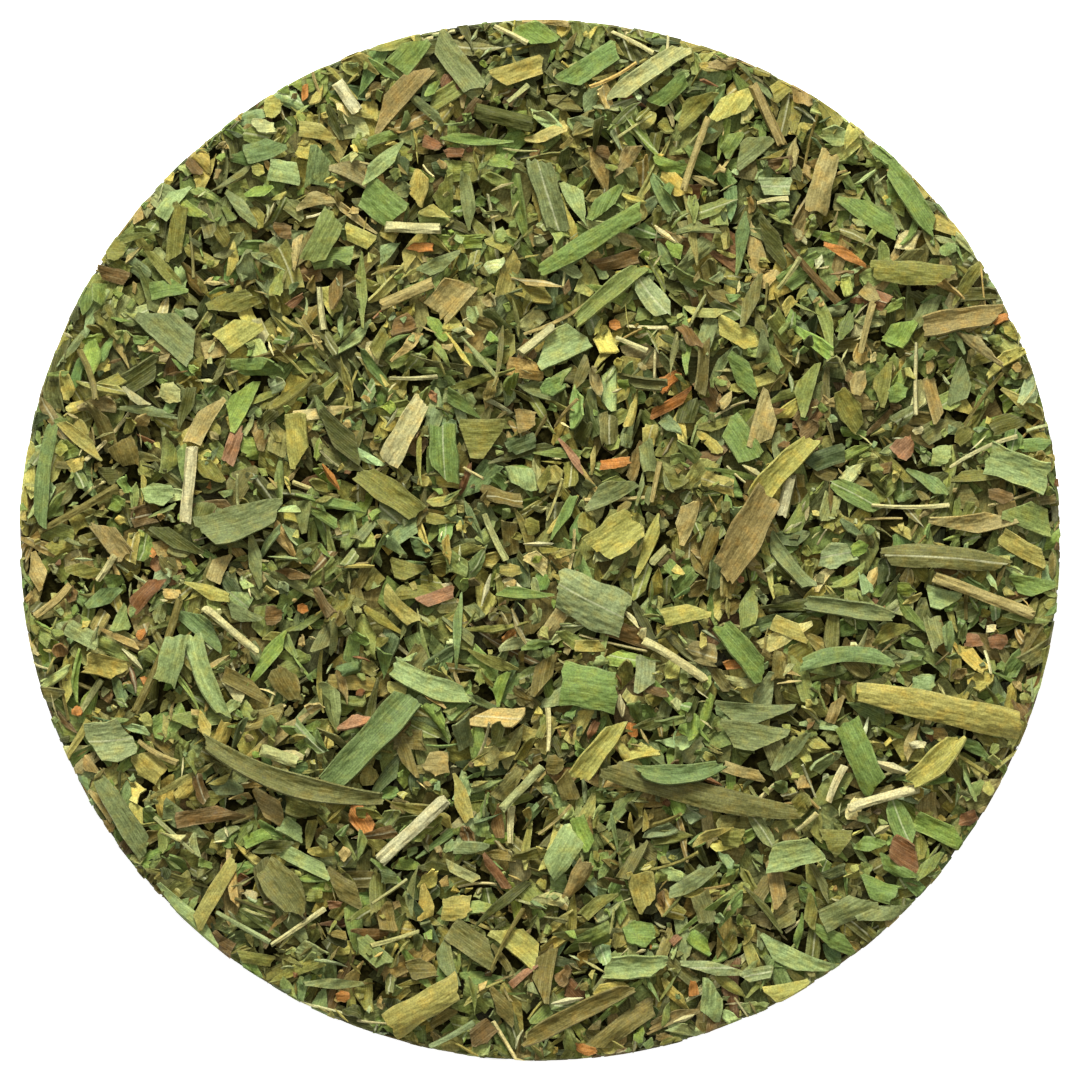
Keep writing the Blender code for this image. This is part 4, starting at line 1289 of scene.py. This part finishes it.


# ---------------------------------------------------------------- the smaller pieces that stand out

# Kind, colour, then x, y, length and width in millimetres and the turn in degrees.
NAMED_CUTTINGS = """
tip light_green 3.8 33.8 5.2 2.2 -68
strip olive_yellow -2.2 46.9 5.6 2 18
stalk dark_olive -3.6 42.2 6 1.7 -14
strip tan_brown -14.1 44.4 8.3 2.2 48
strip grey_green -8.4 47.8 7.2 2.4 -53
stalk tan -13.3 24.6 6 1.2 24
leaf pale_green 11.2 24.4 5.2 2.8 -50
stalk straw -0.3 20 4.4 1 39
strip yellow_green 19.4 43.6 5.5 2.8 57
stalk tan_brown 22.8 42.5 6.8 1.1 -65
strip green 33.2 32.9 6.9 2.2 -34
stem brown 27.2 26.7 7.9 0.9 -48
blade blue_green 20.2 29.7 6.6 1.4 77
strip bright_green -30.2 13.6 5.8 2.2 65
torn pink -30.7 9.5 4 1.5 68
strip tan -33.5 12 5.8 1.8 61
curl tan_brown -42.8 0.1 5 2.2 -50
torn red_brown -39.4 -5.2 4.4 1.8 48
strip blue_green -33.8 -8.6 6.2 2 -40
blade bright_green -27.3 -11.9 6.8 1.6 49
strip grey_green 6.9 5 5.7 2.2 26
torn olive_yellow 10.5 -35.1 4.2 2.8 -75
blade grey_green 15.3 -33.8 6.4 1.6 33
strip yellow_green -2.2 -40.5 5.7 2.6 -40
strip brown_olive 8.4 -48.8 8 2 37
torn brown -5.8 -49.5 3.8 2.2 40
torn tan 37.1 -20.1 4 1.4 73
leaf green 36.1 -28.1 5.2 2.6 -68
strip bright_green 40.3 -29.3 6.2 2 -25
curl red_brown 36.6 -31.6 3.8 3 -30
strip light_green 25.8 -41.9 8.4 2 -24
strip brown -33.1 -27.6 7 1.6 8
torn olive_yellow -39.3 -22.6 4.6 2.6 -40
strip light_green -35.2 -37.5 8.8 1.6 -39
stem straw -24.2 -38.7 6.6 0.6 34
strip tan_brown -27.1 -26.7 4.6 2.2 -32
splinter cream 8.1 -16.6 2.2 0.9 -80
blade blue_green -8.1 -9.1 7.8 1.2 90
blade yellow_green 10.7 -0.6 7 1.4 65
stem straw 0.8 -19 4.5 0.6 90
torn olive 31 13.1 5.5 2.6 -60
strip tan 43.3 2 9 2 8
strip olive_yellow 48.5 -0.8 5.6 1.8 -29
strip olive_green 49 2.4 5.2 2.8 -24
torn pink 36.4 9.3 3 2.2 50
stalk cream 24.7 4.5 4.4 1.3 78
splinter straw 21.4 6.8 2.8 0.8 -31
strip green 20 10 5.2 2.8 -57
strip tan 22.6 12 6 2.4 74
leaf green 31.6 4.5 6 2.4 -28
blade blue_green 38.8 5.8 5 1.6 -39
blade olive 44.4 6.5 6.7 1.3 5
torn orange -23.5 44.9 1.8 0.9 90
torn yellow_green -26.8 43.4 2.4 2.4 0
torn straw_green -27.7 41.4 2.2 1.6 0
strip olive_yellow -22.3 40.9 4 1.6 -10
strip blue_green -27.6 39.3 4.2 2 20
torn yellow_green -28.2 37.1 1.5 1.4 0
strip light_green -25.5 36.8 3.4 2.2 -10
torn brown -34.7 37.5 2.4 1.3 -45
strip light_green -36.8 34 4.3 1.6 52
strip olive -36.3 30.8 6.2 1.6 82
blade olive -37.2 26.7 6.6 1.2 -48
torn olive -42.5 29.2 2.6 2.4 0
strip brown -42.8 26.6 3.5 1.4 -15
strip bright_green -28.1 34.9 3 1.4 35
strip grey_green -29.9 33.2 4.7 1.5 -35
strip tan -22.5 34 4 1.4 12
strip yellow_green -18.2 30.4 3.5 1.6 -25
torn brown -25.8 31 1.8 1.6 0
stem straw -21.9 23.2 4.3 0.8 -84
torn red_brown -24.5 23.9 2.4 0.8 35
strip olive -30.8 23.7 5.2 2.4 25
strip yellow_green -30.1 20.9 4.6 2.6 35
strip grey_green -37 20.9 7 3.4 -42
strip green -37.2 25.2 3.8 1.8 10
stem straw -2.9 50.6 3.8 0.6 -27
strip bright_green -0.3 50.6 4.2 2.4 -35
stem straw 9.3 49.8 4.9 0.5 -28
strip green 12.9 44.9 4.7 1.6 40
strip green -13.1 48.8 4.4 2.6 50
strip green 5 47.5 7 2.2 34
stem straw_green -2.2 44.7 2.8 0.6 40
torn red_brown -10.9 39.7 2.6 1.2 -25
torn red_brown -8.6 38.7 2.2 1.4 0
blade green -6.3 40.2 7.6 1.2 -3
blade grey_green -7.2 34 6.1 1.4 -82
strip green 6.5 33.8 4.8 2 64
torn orange -12 29.3 3.5 1 -2
strip green -15.9 33.8 5 3.4 -40
blade light_green -15.7 37.7 6 1.6 40
strip grey_green -10 27.5 4.8 1.5 22
curl tan -9 24.4 4.6 3.2 50
strip brown 7.7 28 5 1.5 15
stem tan 2 22.4 8 0.5 27
strip light_green 2 19.6 5.6 3.4 25
stem straw 9.2 19.6 3.5 0.6 -23
torn orange 7.5 21.6 1.4 1.2 0
splinter tan 16.4 35.9 2.8 1 -20
strip olive 15.3 43.4 5.4 2 45
strip grey_green 21.1 39.3 4.6 2.2 40
stem straw 23.3 33.9 3.2 0.6 8
strip pale_green 23.5 35.4 3.5 1.8 0
strip dark_olive 23.3 29.9 5.6 2 -50
strip orange 30.5 28.6 4.8 1.2 -18
strip grey_olive 21.1 23.9 5.6 1.6 82
stem straw_green 24.9 26.7 4 0.6 55
torn tan 32.9 24.6 2.6 1.6 -50
stem tan 32.7 21.2 5.2 0.8 76
strip bright_green 36.1 20.9 3.4 2.4 60
strip grey_green 38.4 22.6 5 1.7 62
torn orange 46 22.1 2 1.2 20
blade dark_olive -35.4 13.2 4.4 1.4 75
torn straw_green -37 14.8 2.6 2.2 -15
blade olive_yellow -45.9 10 6 1.4 -40
torn brown_olive -41.7 8.7 3.6 2.8 -70
torn light_green -38.4 4.7 3.6 2.6 0
strip olive -33.1 6.8 3.6 1.8 -50
strip yellow_green -24.2 10 5.6 2.2 -85
strip dark_olive -20 10.4 6.6 2.4 -40
stem brown_olive -46.2 3.1 9.2 0.9 30
strip dark_olive -36.3 -0.1 6 1.5 -35
stem straw -43.4 -2.8 3.2 0.8 55
strip olive -45.7 -3.1 3.8 1.8 15
strip blue_green -43.7 -5.8 3.8 1.8 46
stem tan -48.8 -6.1 4.8 1 41
strip tan -50.4 -3.1 3.8 1.8 -60
strip tan -32.1 -2.7 3.2 1.6 65
blade yellow_green -33.3 -5.2 5 1.4 -15
strip brown_olive -29.4 -14.6 5.6 1.6 -28
torn brown_olive -25.3 -14.4 4.4 2.6 -60
strip grey_green -29.7 -7.5 3.8 1.4 -25
strip grey_green -28.5 -2 5.6 1.6 -68
torn brown -26.7 -7.5 2.4 2 0
scrap orange -23.8 -6.8 1.3 1.1 0
scrap orange -39.9 -9.4 1.3 1 40
scrap orange -46.3 -17.1 1.3 1.1 80
splinter orange -20.9 6.3 3 0.8 -55
splinter straw -40.8 -11.9 2.8 0.8 -45
stem straw_green -45.1 -15.8 4.4 0.8 57
stem straw -12.7 16.3 5 0.5 2
strip olive -5.8 10.2 4.4 4 0
strip dark_teal -1.9 9.6 3.4 1.5 20
torn tan_brown -1.5 12 2.6 2.4 0
blade pink 3.1 8.4 4.4 1.1 -50
torn orange 7.5 7.7 3.2 1.1 5
strip light_green -1.9 6.1 3 2.6 -75
blade olive 0.4 6.1 3 1.1 60
strip grey_green 10.8 8.4 3.4 1.6 -80
stem tan 11.6 5.8 4.2 0.6 78
blade green 2.4 2.2 5 1.2 65
strip tan 14.4 1.9 4.6 1.8 70
splinter cream -0.1 -0.4 3.2 0.5 0
stem straw_green -4.5 0.3 5.2 0.8 -65
torn olive_yellow -3 -2.9 2.6 1.4 0
splinter cream -5.4 -5 3.2 0.6 75
blade green -1.5 -5.2 6 1.3 0
strip yellow_green 14.6 -7.3 5 1.8 12
strip pink -10.4 -5.7 4 1.3 20
strip olive_yellow -14.1 -6.6 4.8 1.5 -45
strip olive -13.4 -3.1 3.6 2 -15
blade olive -4.7 -11.9 5.5 1.3 -27
strip bright_green -4 -14.8 3.6 1.2 72
strip brown_olive 0.4 -13.5 4.8 1.9 78
strip olive_yellow 5 -10.6 3.2 1.2 0
strip green 20.3 16.6 4.8 2.6 -37
torn tan 31.8 15.7 3 1.7 80
strip olive 34.1 15.7 4.6 1.7 80
torn green 35.8 14.8 2.2 2 0
strip tan_brown 39.4 13.9 4.8 1.3 -76
strip grey_green 42.3 15.7 4.8 2 74
stem brown_olive 44.4 14.1 6.6 0.5 54
strip olive_green 26.5 15.2 5.6 1.8 74
strip dark_teal 28.6 8.1 4.4 1.9 20
scrap cream 37.8 11 1.2 0.9 20
torn light_green 40.2 8.5 2 2 0
stem straw 44.4 8.8 7.5 0.5 25
torn brown 46 4.5 3 1.6 -15
stem straw 37.1 3.5 7.8 0.5 0
torn pale_green 29.7 -1.5 4 3.2 10
torn bright_green 32 -0.8 2 1.6 0
strip grey_green 25 -2.2 7 1.5 -50
blade dark_olive 26 -6.3 8 1.3 10
strip olive_yellow 25.1 -8.9 4 1.6 -22
strip light_green 40.3 -5.9 3.6 2.2 -15
strip green 49.3 -4.7 4.8 2 -13
torn pink 43.5 -10 1.8 1.4 0
torn red_brown 45.8 -10.1 2.2 1.8 0
scrap cream 45.2 -8.9 1 0.8 0
strip olive 35 -9.1 4.2 1.6 25
torn orange 19.4 -12.5 2.4 1.3 0
strip tan_brown 29.5 -16.9 3 1.1 70
torn light_green 38.4 -14.4 2.4 2 0
strip grey_green 21.5 -17.2 8 2 -3
stem tan -38.2 -21.2 4.6 0.7 -29
stem olive_yellow -46.4 -20.1 4.8 0.9 57
strip tan -43.7 -26.4 3.8 1.1 -55
strip bright_green -28.3 -29.8 3 1.3 24
torn light_green -24.8 -29 2.9 1.9 -30
blade dark_olive -26.7 -30.8 4.2 1.4 5
strip light_green -23.5 -32.2 6.2 1.5 -27
strip brown_olive -19.6 -34.8 5 2.2 -30
torn red_brown -20.6 -36.5 1.8 0.8 0
stem pale_green -29.7 -38.7 6.2 0.6 -29
strip olive -28.5 -41.9 4 1.2 -10
strip grey_green -20.7 -44.4 6 1.2 8
scrap orange -19.8 -45.7 1.6 1.3 0
torn tan -10.4 -22.4 3.4 2.5 0
blade olive_yellow -8 -25.8 5 1.7 -68
strip brown_olive -13.4 -21.9 4.4 1.3 -70
stem straw -2.9 -28.5 3.8 0.8 87
torn red_brown 5.2 -19 2.6 0.9 60
torn brown_olive 1.5 -22.4 2.4 2 0
strip brown_olive 2.7 -24.7 3 1.8 -70
strip tan 20.5 -23.2 4.6 1.1 -15
splinter red_brown 16.9 -24 2.8 0.6 -22
strip grey_green -6.8 -30.9 3.6 1.3 -5
strip red_brown -4.5 -33.2 4.6 0.9 -52
strip straw_green -7.9 -33.2 4 1 -27
strip bright_green 4.4 -29.4 3.8 1.6 -67
strip grey_olive 9.3 -32 4.8 1.3 61
strip olive 5.9 -36.4 4.4 1.3 39
stem tan 1.5 -28 4.4 0.4 42
blade dark_olive -3.8 -36.6 7.2 1.1 42
torn olive_yellow -8.4 -36.8 3 2.5 0
strip grey_olive -6.5 -40.5 6 2.6 -35
stem brown_olive -3.3 -40 7.2 0.5 62
strip pink -1.7 -43.5 3.4 0.8 41
torn brown_olive -11.8 -43 3.2 2.5 0
strip grey_green -9.3 -42.3 5 1.6 -77
strip brown_olive 0.4 -43.5 5.6 2 80
splinter cream 2.7 -46.1 3.2 0.7 10
strip brown_olive -3.8 -46.7 4.4 1.7 -45
stem pale_green -8.8 -49.5 5.2 0.7 29
strip pale_green 17.2 -42.8 6.6 1.5 0
strip light_green 17.2 -46 4.6 2.3 85
torn orange 15.4 -44.9 2 1 90
strip bright_green 16.1 -40.3 2.9 1.6 -35
torn green 9.8 -39.4 3.6 3.2 0
splinter straw 14.4 -47.9 2.2 0.6 18
torn orange 4.5 -50.9 2.6 1.3 -15
strip grey_green 21.4 -19.7 6.8 2.8 -10
strip grey_green 25 -21.2 5 1.9 62
splinter cream 35.2 -22.8 4 1.1 -18
scrap cream 37.8 -20.5 1.8 1 0
stem cream 29.7 -24.4 4 0.9 65
stem olive_yellow 42.3 -21.7 6.4 0.5 -35
splinter straw 34.2 -29 1.7 0.9 30
stem straw 26.7 -28.2 2.8 0.6 40
leaf grey_green 22.1 -28.9 4.4 1.6 -56
curl olive 29.6 -30.5 3 3.2 0
strip green 33.1 -30.6 3.2 1.5 -12
torn red_brown 42.8 -27.9 2.6 1.5 20
strip olive_green 38.9 -32.7 4.2 1.5 60
strip green 35.7 -32.9 4.4 1.4 -32
curl green 33.8 -34.8 4 2.4 -20
strip grey_green 30.8 -37 5.8 2.4 25
strip grey_green 34.5 -37.3 6 1.8 22
strip green 29.3 -40 6 1.8 -23
strip pale_green 21.7 -43.5 3.6 1.3 12
strip yellow_green 24.7 -45.1 5 1.8 10
blade green 25.8 -39.1 3.8 0.9 82
strip olive 27.2 -37.1 3.6 1.3 80
strip tan_brown 23.7 -34.5 5 1.5 -80
blade grey_olive 27.9 -34.1 5 1.2 -60
"""
FINER_KIND = {"strip": "cut", "blade": "long", "torn": "frayed", "scrap": "frayed"}
PALE_MIDRIB = {"leaf", "pale_green"}


class TARRAGON_OT_named_cuttings(bpy.types.Operator):
    """Lays the smaller pieces that stand out where the photograph has them"""

    bl_idname = "tarragon.named_cuttings"
    bl_label = "Standing-out cuttings"

    def execute(self, context):
        bed, pile = settings(), SCENE["pile"]
        ceiling = pile.ceiling.copy()
        draw = np.random.default_rng(bed.seed + 5)
        heaps = {False: Heap(), True: Heap()}
        rows = [line.split() for line in NAMED_CUTTINGS.strip().splitlines()]
        rows.sort(key=lambda row: -float(row[4]) * float(row[5]))
        for kind, colour, *numbers in rows:
            kind = FINER_KIND.get(kind, kind)
            x, y, length, width, turn = map(float, numbers)
            solid = kind in SOLID_KINDS
            lay = random_lay(
                draw, length * MM, width * MM, colour, solid, 1.8 if kind == "curl" else 0.7, 0.05
            )
            lay["arch"] *= 0.6
            lay["turn"] = math.radians(turn)
            if {kind, colour} & PALE_MIDRIB:
                lay["midrib"] = 0.0
            if solid:
                lay["arch"], lay["sweep"] = draw.uniform(0.04, 0.2), draw.normal(0, 0.03) * (kind == "stem")
            heaps[solid].add(kind, int(draw.integers(VARIANTS)), pile.perch(lay, x * MM, y * MM, ceiling))
        keep_heaps(heaps, "named_leaves", "named_straws")
        return {"FINISHED"}


CRUMB_REACH = ((0, 0), (0.6, 0), (-0.6, 0), (0, 0.6), (0, -0.6))  # millimetres round it that must be free


class TARRAGON_OT_crumbs(bpy.types.Operator):
    """Scatters crumbs and small splinters over everything, most of them in the dips"""

    bl_idname = "tarragon.crumbs"
    bl_label = "Crumbs"

    def execute(self, context):
        bed, pile = settings(), SCENE["pile"]
        draw = np.random.default_rng(bed.seed + 6)
        heaps = {False: Heap(), True: Heap()}
        for _ in range(bed.crumbs):
            x, y, _ = pile.lowest_of(draw, 2, 1.0 * MM)
            if any(pile.taken[pile.cells(x + a * MM, y + b * MM)] for a, b in CRUMB_REACH):
                continue
            solid = draw.random() < 0.14
            length = (draw.uniform(0.8, 2.4) if solid else draw.uniform(0.5, 1.6)) * MM
            width = length * (draw.uniform(0.15, 0.3) if solid else draw.uniform(0.5, 0.95))
            lay = random_lay(
                draw, length, width, pick(draw, STRAW_MIX if solid else LEAF_MIX), solid, 0.6, 0.2
            )
            rest = pile.settle(lay, x, y, 0.7)
            if rest is not None:
                heaps[solid].add("splinter" if solid else "scrap", int(draw.integers(VARIANTS)), rest)
        keep_heaps(heaps, "leaf_crumbs", "straw_splinters", "plain")
        return {"FINISHED"}


# ---------------------------------------------------------------- the stage


SENSOR_WIDTH = 36  # millimetres


def floor_material(glow):
    """White floor that stays bright under the bed's rim."""
    made = bpy.data.materials.new("white_floor")
    made.use_nodes = True
    shader = made.node_tree.nodes["Principled BSDF"]
    shader.inputs["Base Color"].default_value = (0.9, 0.9, 0.9, 1)
    shader.inputs["Roughness"].default_value = 0.9
    shader.inputs["Emission Color"].default_value = (1, 1, 1, 1)
    shader.inputs["Emission Strength"].default_value = glow
    return made


def softbox(name, size, power, location):
    """A square area light that faces the bed."""
    light = bpy.data.lights.new(name, "AREA")
    light.shape, light.size, light.energy = "SQUARE", size, power
    made = bpy.data.objects.new(name, light)
    made.location = location
    made.rotation_euler = (-Vector(location)).to_track_quat("-Z", "Y").to_euler()
    bpy.context.scene.collection.objects.link(made)


class TARRAGON_OT_stage(bpy.types.Operator):
    """Sets up the camera straight above, the white floor and the soft light"""

    bl_idname = "tarragon.stage"
    bl_label = "Stage"

    def execute(self, context):
        stage, scene = context.scene.tarragon_stage, context.scene
        deselect_all()
        bpy.ops.mesh.primitive_plane_add(size=3.0, location=(0, 0, -0.05 * MM))
        floor = context.object
        floor.name = "white_floor"
        floor.data.materials.append(floor_material(stage.floor_glow))

        world = bpy.data.worlds.new("soft_studio")
        world.use_nodes = True
        backdrop = world.node_tree.nodes["Background"]
        backdrop.inputs["Color"].default_value = (1, 1, 1, 1)
        backdrop.inputs["Strength"].default_value = stage.sky
        scene.world = world
        softbox("overhead_softbox", 0.7, stage.softbox_power, (0.05, 0.1, 1.25))
        softbox("key_softbox", 0.3, stage.key_power, (-0.12, 0.85, 0.8))

        camera = bpy.data.cameras.new("overhead_camera")
        camera.sensor_width = SENSOR_WIDTH
        camera.lens = SENSOR_WIDTH * (stage.camera_height - BED_TOP) / stage.frame_width
        camera.clip_start, camera.clip_end = 0.01, 10
        made = bpy.data.objects.new("overhead_camera", camera)
        made.location = (0, 0, stage.camera_height)
        scene.collection.objects.link(made)
        scene.camera = made
        scene.view_settings.view_transform = "Standard"
        scene.view_settings.look = "None"
        return {"FINISHED"}


# ---------------------------------------------------------------- the add-on

STEPS = ("heart", "long_pieces", "named_cuttings", "heap", "crumbs", "rim", "underside", "stage")


class TARRAGON_PT_panel(bpy.types.Panel):
    """Lists the steps that build the bed, and its settings"""

    bl_idname = "TARRAGON_PT_panel"
    bl_label = "Dried tarragon bed"
    bl_space_type = "VIEW_3D"
    bl_region_type = "UI"
    bl_category = "Tarragon"

    def draw(self, context):
        for step in STEPS:
            self.layout.operator(f"tarragon.{step}")
        for group in (getattr(context.scene, name) for name in GROUPS):
            box = self.layout.box()
            for name in group.bl_rna.properties.keys():
                if name not in ("rna_type", "name"):
                    box.prop(group, name)


GROUPS = {
    "tarragon_bed": TARRAGON_PG_bed,
    "tarragon_finish": TARRAGON_PG_finish,
    "tarragon_stage": TARRAGON_PG_stage,
    "tarragon_colours": TARRAGON_PG_colours,
}
CLASSES = (
    *GROUPS.values(),
    TARRAGON_OT_heart,
    TARRAGON_OT_long_pieces,
    TARRAGON_OT_heap,
    TARRAGON_OT_rim,
    TARRAGON_OT_underside,
    TARRAGON_OT_named_cuttings,
    TARRAGON_OT_crumbs,
    TARRAGON_OT_stage,
    TARRAGON_PT_panel,
)


def register():
    for cls in CLASSES:
        bpy.utils.register_class(cls)
    for name, group in GROUPS.items():
        setattr(bpy.types.Scene, name, PointerProperty(type=group))


def unregister():
    for name in GROUPS:
        delattr(bpy.types.Scene, name)
    for cls in reversed(CLASSES):
        bpy.utils.unregister_class(cls)


def main():
    register()
    model_shapes()
    SCENE["materials"] = make_materials()
    SCENE["pile"] = Pile()
    for step in STEPS:
        getattr(bpy.ops.tarragon, step)()


if __name__ == "__main__":
    main()
